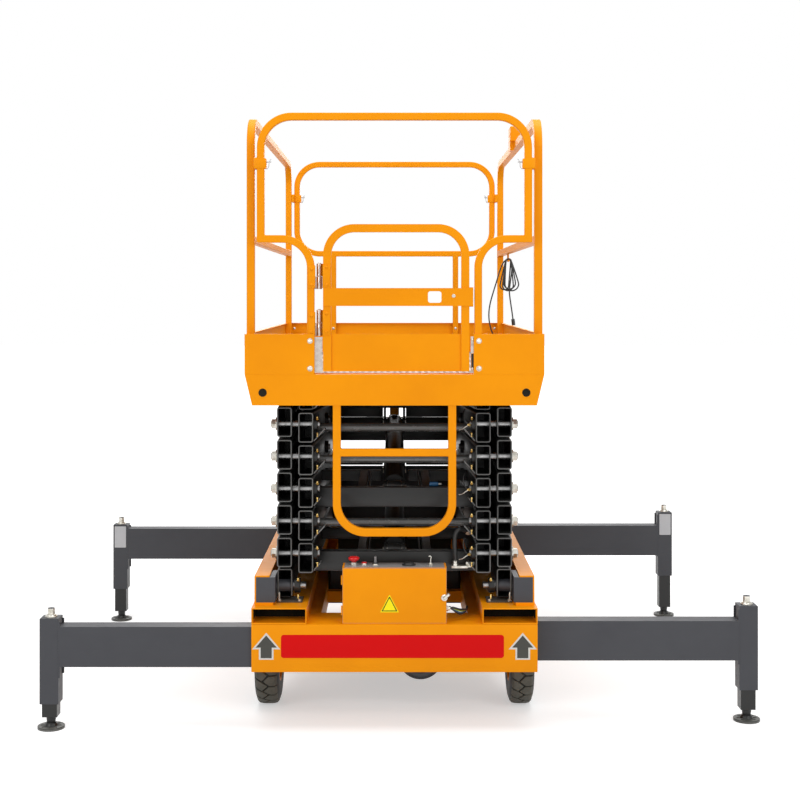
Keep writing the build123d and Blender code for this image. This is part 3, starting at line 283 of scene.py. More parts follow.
# ---------------------------------------------------------------- bare and plated metal
# Pins, nuts and rods are zinc plated or hard chromed, hinges are stainless, grease nipples brass.
plated_metal, given, result = new_group(
    "plated_metal",
    (("Place", "Vector", None), ("Metal", "Color", (1, 1, 1, 1)), ("Tarnish", "Color", (1, 1, 1, 1)),
     ("Polish", "Float", 0.3)),
    (("Colour", "Color"), ("Roughness", "Float"), ("Normal", "Vector")),
)
tree = plated_metal
blotch = new_node(tree, "TexNoise", {"Vector": given.outputs["Place"], "Scale": 55.0, "Detail": 5.0})
blotch_mask = new_node(tree, "MapRange", {0: blotch.outputs[0], 1: 0.4, 2: 0.65})
metal = new_node(tree, "Mix", {0: blotch_mask.outputs[0], 6: given.outputs["Metal"], 7: given.outputs["Tarnish"]},
                 data_type="RGBA")
dull = new_node(tree, "MapRange", {0: blotch.outputs[0], 1: 0.3, 2: 0.7, 3: 0.0, 4: 0.15})
polish = new_node(tree, "Math", {0: given.outputs["Polish"], 1: dull.outputs[0]}, operation="ADD")
turned = new_node(tree, "TexNoise", {"Vector": given.outputs["Place"], "Scale": 900.0, "Detail": 1.0})
grain = new_node(tree, "Bump", {"Height": turned.outputs[0], "Strength": 0.08, "Distance": 0.0005})
for label, socket in (("Colour", metal.outputs[2]), ("Roughness", polish.outputs[0]), ("Normal", grain.outputs[0])):
    tree.links.new(socket, result.inputs[label])


def plating(name, metal, tarnish, polish):
    material, tree = new_material(name)
    place = new_node(tree, "TexCoord")
    plate = new_node(tree, "Group", node_tree=plated_metal)
    tree.links.new(place.outputs["Object"], plate.inputs["Place"])
    for label, value in (("Metal", (*metal, 1)), ("Tarnish", (*tarnish, 1)), ("Polish", polish)):
        plate.inputs[label].default_value = value
    finish_material(tree, {"Base Color": plate.outputs["Colour"], "Roughness": plate.outputs["Roughness"],
                           "Normal": plate.outputs["Normal"], "Metallic": 1.0})
    return material


zinc = plating("zinc_plate", (0.62, 0.60, 0.55), (0.46, 0.44, 0.38), 0.28)
brass = plating("brass", (0.78, 0.55, 0.20), (0.60, 0.42, 0.14), 0.25)
stainless = plating("stainless", (0.55, 0.50, 0.46), (0.40, 0.34, 0.30), 0.22)
chrome = plating("hard_chrome", (0.62, 0.62, 0.62), (0.55, 0.55, 0.55), 0.10)
clothe(chrome, [f"cylinder_rod_{number}" for number in (1, 2)])
clothe(stainless, ["gate_hinges"])

# ---------------------------------------------------------------- rubber and plastic
# Black rubber of the lead and tyres, and the moulded knobs and plugs.
moulded_skin, given, result = new_group(
    "moulded_skin",
    (("Place", "Vector", None), ("Tone", "Color", (0, 0, 0, 1)), ("Dust", "Color", (0, 0, 0, 1)),
     ("Dulness", "Float", 0.6), ("Grain", "Float", 300.0)),
    (("Colour", "Color"), ("Roughness", "Float"), ("Normal", "Vector")),
)
tree = moulded_skin
dust = new_node(tree, "TexNoise", {"Vector": given.outputs["Place"], "Scale": 18.0, "Detail": 6.0, "Roughness": 0.65})
dust_mask = new_node(tree, "MapRange", {0: dust.outputs[0], 1: 0.42, 2: 0.68})
tone = new_node(tree, "Mix", {0: dust_mask.outputs[0], 6: given.outputs["Tone"], 7: given.outputs["Dust"]},
                data_type="RGBA")
dry = new_node(tree, "MapRange", {0: dust.outputs[0], 1: 0.3, 2: 0.7, 3: 0.0, 4: 0.2})
dulness = new_node(tree, "Math", {0: given.outputs["Dulness"], 1: dry.outputs[0]}, operation="ADD")
skin = new_node(tree, "TexNoise", {"Vector": given.outputs["Place"], "Scale": given.outputs["Grain"], "Detail": 3.0})
pebble = new_node(tree, "Bump", {"Height": skin.outputs[0], "Strength": 0.25, "Distance": 0.0006})
for label, socket in (("Colour", tone.outputs[2]), ("Roughness", dulness.outputs[0]), ("Normal", pebble.outputs[0])):
    tree.links.new(socket, result.inputs[label])


def moulding(name, tone, dust, dulness, grain):
    material, tree = new_material(name)
    place = new_node(tree, "TexCoord")
    skin = new_node(tree, "Group", node_tree=moulded_skin)
    tree.links.new(place.outputs["Object"], skin.inputs["Place"])
    for label, value in (("Tone", (*tone, 1)), ("Dust", (*dust, 1)), ("Dulness", dulness), ("Grain", grain)):
        skin.inputs[label].default_value = value
    finish_material(tree, {"Base Color": skin.outputs["Colour"], "Roughness": skin.outputs["Roughness"],
                           "Normal": skin.outputs["Normal"]})
    return material


lead_rubber = moulding("lead_rubber", (0.012, 0.012, 0.012), (0.022, 0.022, 0.021), 0.45, 400.0)
tyre_rubber = moulding("tyre_rubber", (0.070, 0.067, 0.052), (0.120, 0.113, 0.092), 0.62, 260.0)
black_plastic = moulding("black_plastic", (0.012, 0.012, 0.013), (0.02, 0.02, 0.02), 0.38, 500.0)
red_plastic = moulding("red_plastic", (0.60, 0.008, 0.008), (0.52, 0.006, 0.008), 0.28, 500.0)
lead.data.materials.append(lead_rubber)
clothe(black_plastic, ["cord_plug", "cord_gland", "box_controls"], 0.001)
clothe(tyre_rubber, ["tyre_" + corner for corner in corners], 0)
clothe(yellow_coat, ["rim_" + corner for corner in corners])


# ---------------------------------------------------------------- tyres
# Block-tread industrial tyres. Each pitch of the tread is cut across by an S-shaped groove and
# split by a slanting one, which leaves two blocks that lock into each other.


def turned(shape, foot, axis, profile, skin=0, sides=32):
    """A turned piece: rings of (height, radius) along an axis from its foot, closed at both ends."""
    turn = Vector(axis).to_track_quat("Z", "Y").to_matrix()
    rings = []
    for height, radius in profile:
        angles = [2 * pi * i / sides for i in range(sides if radius else 1)]
        rings.append([shape.verts.new(Vector(foot) + turn @ Vector((radius * cos(a), radius * sin(a), height)))
                      for a in angles])
    made = []
    for low, high in zip(rings, rings[1:]):
        for i in range(sides):
            corner = [low[i % len(low)], low[(i + 1) % len(low)], high[(i + 1) % len(high)], high[i % len(high)]]
            made.append(shape.faces.new(list(dict.fromkeys(corner))))
    for ring in (rings[0], rings[-1]):
        if len(ring) > 1:
            made.append(shape.faces.new(ring))
    for face in made:
        face.material_index = skin


def finish_piece(name, shape, body, skins):
    """Turns a built shape into a piece that rides on a body and wears its finishes."""
    bmesh.ops.recalc_face_normals(shape, faces=shape.faces)
    mesh = bpy.data.meshes.new(name)
    shape.to_mesh(mesh)
    shape.free()
    for skin in skins:
        mesh.materials.append(skin)
    mesh.shade_smooth()
    mesh.set_sharp_from_angle(angle=radians(32))
    piece = bpy.data.objects.new(name, mesh)
    bpy.context.scene.collection.objects.link(piece)
    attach(piece, body)
    return piece


wheel_radius = 0.200
tyre_half = 0.0515
pitches = 24
tread_half = 0.0475
groove_half = 0.0036
tread_depth = 0.010
# how the tread falls away from its middle: sideways place, and radius there
crown = ((0.0, 0.1995), (0.022, 0.1990), (0.036, 0.1960), (0.0475, 0.1840))


def tread_radius(x):
    for (x0, r0), (x1, r1) in zip(crown, crown[1:]):
        if abs(x) <= x1:
            return r0 + (r1 - r0) * (abs(x) - x0) / (x1 - x0)
    return crown[-1][1]


# a far darker copy of the tyre rubber for the side walls and groove floors: painted shade
carcass_shade_rubber = moulding("carcass_shade_rubber", (0.014, 0.014, 0.013), (0.030, 0.029, 0.026), 0.5, 260.0)
pitch = 2 * pi * wheel_radius / pitches
# corners of the two blocks of a pitch: across as a share of the half width, along in pitches
blocks = (
    ((-1, 0), (-0.35, 0.30), (0.20, 0.7125), (-0.35, 1.30), (-1, 1)),
    ((0.20, 0.7125), (0.25, 0.75), (1, 0.75), (1, 1.75), (0.25, 1.75), (-0.35, 1.30)),
)
tread = bmesh.new()
for corners_of_block in blocks:
    points = [Vector((u * tread_half, v * pitch, 0)) for u, v in corners_of_block]
    middle = sum(points, Vector()) / len(points)
    inset = []
    for i, point in enumerate(points):
        before = (point - points[i - 1]).normalized()
        after = (points[(i + 1) % len(points)] - point).normalized()
        inward = Vector((-before.y - after.y, before.x + after.x, 0)).normalized()
        share = max(0.5, inward.dot(Vector((-before.y, before.x, 0))))
        inset.append(point + inward * groove_half / share)
    top = tread.faces.new([tread.verts.new(point) for point in inset])
raised = bmesh.ops.extrude_face_region(tread, geom=list(tread.faces))
bmesh.ops.translate(tread, verts=[v for v in raised["geom"] if isinstance(v, bmesh.types.BMVert)],
                    vec=(0, 0, tread_depth))
rims_of_blocks = [e for e in tread.edges if all(v.co.z > tread_depth / 2 for v in e.verts)]
bmesh.ops.bevel(tread, geom=rims_of_blocks, offset=0.0012, segments=1, affect="EDGES")
for direction, places in (((1, 0, 0), (-0.036, -0.022, 0, 0.022, 0.036)),
                          ((0, 1, 0), [0.0131 * i for i in range(8)])):
    for place in places:
        bmesh.ops.bisect_plane(tread, geom=tread.verts[:] + tread.edges[:] + tread.faces[:],
                               plane_co=Vector(direction) * place, plane_no=direction)
flat_tread = bpy.data.meshes.new("flat_tread")
tread.to_mesh(flat_tread)
tread.free()

wheel_places = {"front": -0.685, "rear": 0.500}
for corner in corners:
    end, side = corner.split("_")
    outward = -1 if side == "left" else 1
    centre = Vector((outward * 0.5305, wheel_places[end], wheel_radius))
    shape = bmesh.new()
    # side walls and the floor of the grooves, in a far darker copy of the rubber as painted shade
    wall = [(-0.042, 0.103), (-0.0485, 0.108), (-0.0500, 0.120), (-0.0490, 0.122), (-0.0508, 0.126),
            (tyre_half * -1, 0.148), (-0.0500, 0.166), (-0.0488, 0.168), (-0.0495, 0.170), (-0.0465, 0.179),
            (-0.040, 0.1865), (-0.022, 0.1890)]
    wall += [(0.0, 0.1895)] + [(-x, r) for x, r in reversed(wall)]
    turned(shape, centre, (1, 0, 0), wall + [wall[0]], 1, 96)
    bmesh.ops.delete(shape, geom=[f for f in shape.faces if len(f.verts) > 4], context="FACES_ONLY")
    for number in range(pitches):
        first = len(shape.verts)
        shape.from_mesh(flat_tread)
        shape.verts.ensure_lookup_table()
        for vert in shape.verts[first:]:
            x, along, height = vert.co
            angle = (number + along / pitch) * 2 * pi / pitches
            reach = tread_radius(x) - tread_depth + height
            vert.co = centre + Vector((x, -reach * sin(angle), reach * cos(angle)))
    bmesh.ops.remove_doubles(shape, verts=shape.verts, dist=1e-6)
    tyre = finish_piece("tread_" + corner, shape, "wheel_" + corner, [tyre_rubber, carcass_shade_rubber])
    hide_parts("tyre_" + corner)

# ---------------------------------------------------------------- wheel nuts and valves
# Five zinc-plated nuts on studs hold each rim to its hub, and a rubber valve stands in the rim.
nut_circle = 0.056
disc_face = 0.0098
for corner in corners:
    end, side = corner.split("_")
    outward = -1 if side == "left" else 1
    hub = Vector((outward * 0.5305, wheel_places[end], wheel_radius))
    shape = bmesh.new()
    for number in range(5):
        angle = 2 * pi * number / 5 + 0.3
        seat = hub + Vector((outward * disc_face, nut_circle * cos(angle), nut_circle * sin(angle)))
        turned(shape, seat, (outward, 0, 0), [(0, 0.011), (0.003, 0.013), (0.004, 0.013)], 0, 24)
        turned(shape, seat, (outward, 0, 0), [(0.004, 0.0105), (0.014, 0.0105), (0.016, 0.009)], 0, 6)
        turned(shape, seat, (outward, 0, 0), [(0.010, 0.0062), (0.021, 0.0062), (0.022, 0.0052)], 0, 16)
    stem = hub + Vector((outward * 0.012, 0.030, 0.072))
    turned(shape, stem, (outward, 0.05, 0.2), [(0, 0.008), (0.006, 0.0065), (0.020, 0.0055), (0.021, 0.0042),
                                               (0.030, 0.0042), (0.031, 0.0035)], 1, 16)
    finish_piece("wheel_nuts_" + corner, shape, "wheel_" + corner, [zinc, black_plastic])

# ---------------------------------------------------------------- scissor arms
# Six stages of arms, cut from cold-formed rectangular tube with rounded corners. The ends stay
# open round the hard-chromed pins. Round bars, square tubes and struts are welded across the
# inner frames, and slanting gussets brace each one behind its pin collar.
stage_rise = 0.1314
pivot_y, pivot_z = -0.950, 0.551
rear_pin_y = 0.9454
middle_y = -0.0023
arm_tilt = radians(3.1218)
pin_s, pin_n = 0.9499, 0.014
arm_half = 0.060
arm_wide = 0.060
wall = 0.005
corner_round = 0.009
open_depth = 0.340
long_end, short_end = 0.055, 0.030
lanes = {1: 0.414, -1: 0.328}
# pale grey for the rolled rims of the open arm ends and the thin flat bars: a painted highlight where their edges
# catch the light
edge_highlight = coat("edge_highlight", (0.115, 0.115, 0.110), (0.060, 0.060, 0.058), 0.40, 0.03, 0.4)


def arm_matrix(stage, towards):
    """From (across, along an arm, square to it) to the object's own axes; towards is the high end."""
    centre = Vector((0, middle_y, pivot_z + (stage - 0.5) * stage_rise))
    along = Vector((0, towards * cos(arm_tilt), sin(arm_tilt)))
    up = Vector((0, -towards * sin(arm_tilt), cos(arm_tilt)))
    turn = Matrix((Vector((1, 0, 0)), along, up)).transposed()
    return Matrix.Translation(centre) @ turn.to_4x4()


def block(shape, low, high, skin=0, ease=0.0, turn=Matrix.Identity(4)):
    """A bar or plate between two corners, its edges eased, turned in place if a matrix is given."""
    low, high = Vector(low), Vector(high)
    place = turn @ Matrix.Translation((low + high) / 2) @ Matrix.Diagonal((*(high - low), 1))
    made = bmesh.ops.create_cube(shape, size=1.0, matrix=place)["verts"]
    for face in {f for v in made for f in v.link_faces}:
        face.material_index = skin
    if ease:
        edges = list({e for v in made for e in v.link_edges})
        bmesh.ops.bevel(shape, geom=edges, offset=ease, segments=2, profile=0.6, affect="EDGES")


def round_section(x_mid, half_x, half_n, radius):
    """A rectangle with rounded corners, as points across an arm."""
    points = []
    for quarter in range(4):
        for step in range(4):
            angle = radians(90 * quarter + 30 * step)
            side = (1, -1, -1, 1)[quarter], (1, 1, -1, -1)[quarter]
            points.append((x_mid + side[0] * (half_x - radius) + radius * cos(angle),
                           side[1] * (half_n - radius) + radius * sin(angle)))
    return points


def open_tube(shape, x_mid, low_end, high_end):
    """An arm: tube walls rolled over at the rim, and a blind hollow behind each open end."""
    reach = {-1: -(pin_s + low_end), 1: pin_s + high_end}
    stations = ((-1, open_depth, 1), (-1, 0.0015, 1), (-1, 0.0, 1), (-1, 0.0015, 0), (1, 0.0015, 0), (1, 0.0, 1),
                (1, 0.0015, 1), (1, open_depth, 1))
    rings = []
    for end, inset, inner in stations:
        size = wall if inner else 0.0
        if inset == 0.0:
            size = wall - 0.001
        section = round_section(x_mid, arm_wide / 2 - size, arm_half - size, corner_round - min(size, 0.004))
        ring = []
        for x, n in section:
            s = reach[end] - end * inset
            if (low_end if end < 0 else high_end) == short_end:
                s -= end * max(0.0, end * n - 0.050) * 2
            ring.append(shape.verts.new((x, s, n)))
        rings.append(ring)
    outer_rims = []
    for end, at in ((-1, 3), (1, 4)):
        ring = [shape.verts.new(v.co) for v in rings[at]]
        for v in ring:
            v.co.y += end * 0.0015
            v.co.x += (x_mid - v.co.x) * 0.03
            v.co.z *= 0.985
        outer_rims.append(ring)
    order = [rings[0], rings[1], rings[2], outer_rims[0], rings[3], rings[4], outer_rims[1], rings[5], rings[6], rings[7]]
    # the rolled rims wear the pale grey of a painted highlight
    skins = (0, 1, 1, 1, 0, 1, 1, 1, 0)
    for low, high, skin in zip(order, order[1:], skins):
        for i in range(len(low)):
            face = shape.faces.new((low[i], low[i - 1], high[i - 1], high[i]))
            face.material_index = skin
    shape.faces.new(rings[0])
    shape.faces.new(rings[7])


def pin_nut(shape, place, out, reach=0.025):
    """A washer and a hexagon nut on a pin's end, with the thread standing through."""
    turned(shape, place, (out, 0, 0), [(0, 0.026), (0.004, 0.026)], 2, 32)
    turned(shape, place, (out, 0, 0), [(0.004, 0.0205), (reach - 0.005, 0.0205), (reach - 0.003, 0.0175)], 2, 6)
    turned(shape, place, (out, 0, 0), [(reach - 0.006, 0.012), (reach - 0.001, 0.012), (reach, 0.011)], 3, 24)


def nipple(shape, place, direction, length=0.017):
    """A brass grease nipple with its hexagon and ball head."""
    turned(shape, place, direction, [(0, 0.0045), (0.001, 0.0052), (0.006, 0.0052)], 4, 6)
    turned(shape, place, direction, [(0.006, 0.0030), (length - 0.006, 0.0026), (length - 0.005, 0.0040),
                                     (length - 0.002, 0.0042), (length, 0.0022)], 4, 12)


steel_bar = plating("ground_bar", (0.36, 0.36, 0.36), (0.26, 0.26, 0.255), 0.30)
bar_coat = coat("bar_coat", (0.075, 0.075, 0.072), (0.055, 0.055, 0.053), 0.22, 0.01, 0.9)
# pale grey for the gussets: a painted highlight on their lit edges
gusset_highlight = coat("gusset_highlight", (0.30, 0.30, 0.29), (0.20, 0.20, 0.195), 0.30, 0.03, 0.5)
scissor_skins = [black_coat, edge_highlight, zinc, steel_bar, brass, gusset_highlight, bar_coat]
for stage in scissor_stages:
    shape = bmesh.new()
    for side in (-1, 1):
        open_tube(shape, side * (lanes[1] + arm_wide / 2), short_end if stage == 1 else long_end,
                  short_end if stage == 6 else long_end)
    shape.transform(arm_matrix(stage, 1))
    if stage == 6:
        for side in (-1, 1):
            roller = Vector((side * 0.474, rear_pin_y, pivot_z + 6 * stage_rise))
            turned(shape, roller, (side, 0, 0), [(0, 0.025), (0.012, 0.025)], 3)
            turned(shape, roller, (side, 0, 0), [(0.011, 0.040), (0.013, 0.046), (0.016, 0.048), (0.068, 0.048),
                                                 (0.071, 0.046), (0.071, 0.030), (0.068, 0.028), (0.068, 0.0)], 0, 48)
    arms = finish_piece(f"outer_tubes_{stage}", shape, f"outer_arms_{stage}", scissor_skins)
    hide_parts(f"outer_arms_{stage}")

cylinder_stages = (1, 3)
rear_tube_n = ((-0.040, 0.085), (-0.015, 0.110), (-0.015, 0.069), (-0.015, 0.110), (-0.0195, 0.085),
               (-0.0195, 0.070))
pin_thick = 0.014
for stage in scissor_stages:
    towards = arm_matrix(stage, -1)
    shape = bmesh.new()
    inner = lanes[-1]
    for side in (-1, 1):
        open_tube(shape, side * (inner + arm_wide / 2), short_end if stage == 1 else long_end,
                  short_end if stage == 6 else long_end)
        # slanting gusset from the arm's lower inner corner up behind the front collar, drawn in pale grey as a painted
        # highlight on its lit edge
        size = (0.045, 0.050) if stage in (2, 4, 5) else (0.026, 0.030)
        foot = Vector((side * inner, pin_s - 0.035, -arm_half + 0.004))
        slope = Matrix.Translation(foot) @ Matrix.Rotation(side * atan2(size[1], size[0]), 4, "Y")
        reach = (size[0] ** 2 + size[1] ** 2) ** 0.5
        block(shape, (min(0, -side * reach), -0.045, -0.0025), (max(0, -side * reach), 0.045, 0.0025), 5, 0.0008,
              slope)
    if stage in cylinder_stages:
        block(shape, (-inner, 0.805, -0.068), (inner, 0.885, 0.012), 0, 0.006)
        for side in (-1, 1):
            x0, x1 = sorted((side * 0.060, side * inner))
            block(shape, (x0, 0.309, -0.001), (x1, 0.355, 0.045), 0, 0.005)
            # sloping strut, and the thin flat bar beside it, drawn in the pale grey of a painted edge highlight
            for x_mid, half, thick, skin in ((0.135, 0.018, 0.036, 0), (0.106, 0.003, 0.026, 1)):
                rise = 0.045 - 0.012
                run = 0.805 - 0.332
                turn = (Matrix.Translation((side * x_mid, 0.332, 0.045))
                        @ Matrix.Rotation(-atan2(rise, run), 4, "X"))
                block(shape, (-half, 0, -thick), (half, (rise ** 2 + run ** 2) ** 0.5, 0), skin, 0.003, turn)
            # lugs for the cylinder's eye
            x0, x1 = sorted((side * 0.033, side * 0.045))
            block(shape, (x0, 0.765, -0.032), (x1, 0.806, 0.012), 0, 0.001)
            turned(shape, (x0, 0.765, 0), (1, 0, 0), [(0, 0.032), (0.012, 0.032)], 0, 40)
            turned(shape, (side * 0.045, 0.765, 0), (side, 0, 0), [(0, 0.015), (0.004, 0.015), (0.005, 0.014)], 2, 24)
    elif stage == 6:
        block(shape, (-inner, 0.810, -0.043), (inner, 0.880, 0.027), 0, 0.006)
    else:
        turned(shape, (-inner, 0.830, -0.005), (1, 0, 0), [(0, 0.017), (2 * inner, 0.017)], 6, 48)
        for side in (-1, 1):
            turned(shape, (side * inner, 0.830, -0.005), (-side, 0, 0), [(0, 0.024), (0.004, 0.021), (0.007, 0.0172)],
                   0, 40)
    low_n, high_n = rear_tube_n[stage - 1]
    gap = 0.062 if stage in (3, 5) else 0.0
    for side in (-1, 1):
        x0, x1 = sorted((side * gap, side * inner))
        block(shape, (x0, -0.925, low_n), (x1, -0.885, high_n), 0, 0.004)
    if gap:
        block(shape, (-gap, -0.925, 0.045), (gap, -0.885, high_n), 0, 0.004)
        block(shape, (-inner, -0.864, 0.030), (inner, -0.826, 0.068), 0, 0.004)
        for side in (-1, 1):
            x0, x1 = sorted((side * 0.045, side * 0.057))
            block(shape, (x0, -0.870, -0.040), (x1, -0.820, 0.032), 0, 0.001)
            turned(shape, (x0, -0.845, -0.040), (1, 0, 0), [(0, 0.032), (0.012, 0.032)], 0, 40)
            turned(shape, (side * 0.057, -0.845, -0.040), (side, 0, 0), [(0, 0.016), (0.004, 0.016), (0.005, 0.015)],
                   2, 24)
    shape.transform(towards)
    front = Vector((0, pivot_y, pivot_z + stage * stage_rise))
    rear = Vector((0, rear_pin_y, pivot_z + (stage - 1) * stage_rise))
    middle = Vector((0, middle_y, pivot_z + (stage - 0.5) * stage_rise))
    for side in (-1, 1):
        for pin, out_to in ((front, 0.450 if stage == 6 else 0.478), (rear, 0.478), (middle, 0.478)):
            if stage == 1 and pin is rear:
                turned(shape, pin + Vector((side * 0.388, 0, 0)), (side, 0, 0), [(0, 0.025), (0.098, 0.025)], 3, 40)
                turned(shape, pin + Vector((side * 0.485, 0, 0)), (side, 0, 0),
                       [(0, 0.040), (0.001, 0.046), (0.004, 0.048), (0.056, 0.048), (0.060, 0.046), (0.060, 0.030),
                        (0.057, 0.028), (0.057, 0)], 0, 48)
                continue
            start = pin + Vector((side * 0.304, 0, 0))
            turned(shape, start, (side, 0, 0), [(0, pin_thick - 0.001), (0.001, pin_thick),
                                                (out_to - 0.304, pin_thick)], 3, 40)
            pin_nut(shape, pin + Vector((side * out_to, 0, 0)), side, 0.020 if stage == 6 and pin is front else 0.025)
            # collar round the pin, welded inside the inner arm, greased from above and below
            turned(shape, pin + Vector((side * 0.329, 0, 0)), (-side, 0, 0),
                   [(0, 0.030), (0.015, 0.030), (0.017, 0.028), (0.017, pin_thick)], 0, 40)
            if pin is not middle:
                facing = -1 if pin is front else 1
                for height in (0.024, -0.043):
                    seat = pin + Vector((side * 0.3125, facing * 0.028, height * 0.8))
                    lean = Vector((0, facing * 0.5, 0.5 if height > 0 else -1.0))
                    nipple(shape, seat, lean, 0.018)
    frame_piece = finish_piece(f"inner_tubes_{stage}", shape, f"inner_frame_{stage}", scissor_skins)
    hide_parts(f"inner_frame_{stage}")

# ---------------------------------------------------------------- lowest pivots
# The lowest front pins sit in blocks bolted to the chassis. Their collars are greased too.
shape = bmesh.new()
for side in (-1, 1):
    pin = Vector((side * 0.360, pivot_y, pivot_z))
    turned(shape, pin, (side, 0, 0), [(0, pin_thick - 0.001), (0.001, pin_thick), (0.118, pin_thick)], 3, 40)
    turned(shape, pin + Vector((side * 0.046, 0, 0)), (-side, 0, 0),
           [(0, 0.030), (0.022, 0.030), (0.024, 0.028), (0.024, pin_thick)], 0, 40)
    for height in (0.022, -0.034):
        nipple(shape, pin + Vector((side * 0.030, -0.026, height)), (0, -0.5, 0.5 if height > 0 else -1.0), 0.018)
finish_piece("lowest_pins", shape, "chassis", scissor_skins)

# ---------------------------------------------------------------- sheets on the front box
# A red reflective sheet and two dark arrows with pale edges, cut from vinyl and stuck on. They
# carry no words.


def plate(shape, outline, start, thick, skin=0, out=(0, -1, 0), level=(0, 0, 1), ease=0.0):
    """A plate of the given outline, drawn across and up, that stands proud of a face by its thickness."""
    out, up = Vector(out), Vector(level)
    across = up.cross(out)
    foot = [Vector(start) + across * x + up * z for x, z in outline]
    low = [shape.verts.new(v) for v in foot]
    high = [shape.verts.new(v + out * thick) for v in foot]
    made = [shape.faces.new(low), shape.faces.new(high)]
    for i in range(len(low)):
        made.append(shape.faces.new((low[i - 1], low[i], high[i], high[i - 1])))
    for face in made:
        face.material_index = skin
    if ease:
        bmesh.ops.bevel(shape, geom=list(made[1].edges), offset=ease, segments=2, profile=0.6, affect="EDGES")


def rounded(half_x, half_z, radius, steps=5):
    """The outline of a rectangle with rounded corners."""
    points = []
    for quarter in range(4):
        side = (1, -1, -1, 1)[quarter], (1, 1, -1, -1)[quarter]
        for step in range(steps + 1):
            angle = radians(90 * (quarter + step / steps))
            points.append((side[0] * (half_x - radius) + radius * cos(angle),
                           side[1] * (half_z - radius) + radius * sin(angle)))
    return points


def disc(radius, sides=28):
    return [(radius * cos(2 * pi * i / sides), radius * sin(2 * pi * i / sides)) for i in range(sides)]


red_sheet = coat("red_sheet", (0.640, 0.0006, 0.0010), (0.600, 0.0006, 0.0010), 0.30, 0.01, 0.12)
arrow_grey = coat("arrow_grey", (0.062, 0.062, 0.055), (0.070, 0.070, 0.062), 0.35, 0.01, 0.15)
pale_vinyl = coat("pale_vinyl", (0.66, 0.65, 0.60), (0.60, 0.59, 0.55), 0.35, 0.01, 0.15)
front_y = -1.1000
shape = bmesh.new()
plate(shape, rounded(0.442, 0.046, 0.011), (-0.008, front_y, 0.339), 0.0008, 0)
arrow = ((0.022, -0.044), (0.022, -0.002), (0.042, -0.002), (0.0, 0.046), (-0.042, -0.002), (-0.022, -0.002),
         (-0.022, -0.044))
border = ((0.029, -0.050), (0.029, -0.009), (0.056, -0.009), (0.0, 0.0565), (-0.056, -0.009), (-0.029, -0.009),
          (-0.029, -0.050))
for x in (-0.5085, 0.5085):
    plate(shape, border, (x, front_y, 0.3365), 0.0006, 2)
    plate(shape, arrow, (x, front_y - 0.0006, 0.3365), 0.0004, 1)
finish_piece("front_sheets", shape, "chassis", [red_sheet, arrow_grey, pale_vinyl])

# ---------------------------------------------------------------- front of the chassis
# The side rails are lined inside with near-black sheets as painted shade. Folded brackets and bolts tie the pivot
# blocks down, and a near-black sheet before the front face of the rear box is painted shade as well.
shade_and_plug_black = coat("shade_and_plug_black", (0.010, 0.010, 0.008), (0.022, 0.019, 0.012), 0.7, 0.04, 0.1)
primer = coat("primer", (0.085, 0.070, 0.055), (0.13, 0.11, 0.095), 0.35, 0.05, 0.5)
shape = bmesh.new()
for side in (-1, 1):
    x0, x1 = sorted((side * 0.3545, side * 0.5625))
    # near-black liners under the roof, across the back and along the outer wall inside each rail: painted shade
    block(shape, (x0, -1.070, 0.483), (x1, 0.700, 0.4848), 0)
    block(shape, (x0, -0.985, 0.4315), (x1, -0.983, 0.4845), 0)
    x0, x1 = sorted((side * 0.5605, side * 0.5625))
    block(shape, (x0, -1.060, 0.4400), (x1, -0.985, 0.4845), 0)
    # folded foot under the lowest pin, bolted to the rail
    x0, x1 = sorted((side * 0.372, side * 0.476))
    block(shape, (x0, -1.000, 0.4905), (x1, -0.900, 0.4950), 1, 0.001)
    for x, y in ((0.384, -0.988), (0.464, -0.988)):
        bolt = Vector((side * x, y, 0.495))
        turned(shape, bolt, (0, 0, 1), [(0, 0.009), (0.0015, 0.009)], 2, 20)
        turned(shape, bolt, (0, 0, 1), [(0.0015, 0.0075), (0.007, 0.0075), (0.008, 0.006)], 2, 6)
    # bright retaining pin that stands in front of the block
    turned(shape, (side * 0.468, -0.972, 0.495), (0, 0, 1), [(0, 0.005), (0.030, 0.005), (0.032, 0.003)], 2, 16)
# near-black sheet before the front face of the rear box: painted shade
block(shape, (-0.298, 0.7605, 0.322), (0.298, 0.7635, 0.500), 0)
finish_piece("chassis_fittings", shape, "chassis", [shade_and_plug_black, primer, zinc])

# ---------------------------------------------------------------- control box
# A folded steel box with a pale lid, a hinged front and a cam latch. Emergency stop, push button,
# selector, covered socket and a wire hook stand on its lid. Its triangular sign is blank.
pale_lid = coat("pale_lid", (0.30, 0.28, 0.28), (0.24, 0.23, 0.23), 0.35, 0.03, 0.4)
sign_yellow = coat("sign_yellow", (0.93, 0.80, 0.015), (0.90, 0.76, 0.015), 0.3, 0.01, 0.1)
sign_black = coat("sign_black", (0.012, 0.012, 0.008), (0.02, 0.02, 0.012), 0.3, 0.01, 0.1)
box_skins = [pale_lid, zinc, red_plastic, black_plastic, sign_yellow, sign_black, yellow_coat]
lid_z = 0.649
control_y = -1.040
shape = bmesh.new()
block(shape, (-0.199, -1.089, lid_z - 0.001), (0.199, -0.991, lid_z + 0.0012), 0, 0.0005)
# hinged front with a turned edge
block(shape, (-0.2060, -1.0968, 0.4300), (0.2060, -1.0950, 0.6475), 6, 0.0008)
for height in (0.480, 0.600):
    turned(shape, (-0.2085, -1.0905, height - 0.018), (0, 0, 1), [(0, 0.004), (0.036, 0.004)], 6, 16)


def base_ring(x, radius, height):
    """The knurled silver ring under a control."""
    turned(shape, (x, control_y, lid_z), (0, 0, 1),
           [(0, radius), (height - 0.002, radius), (height, radius - 0.002)], 1, 32)


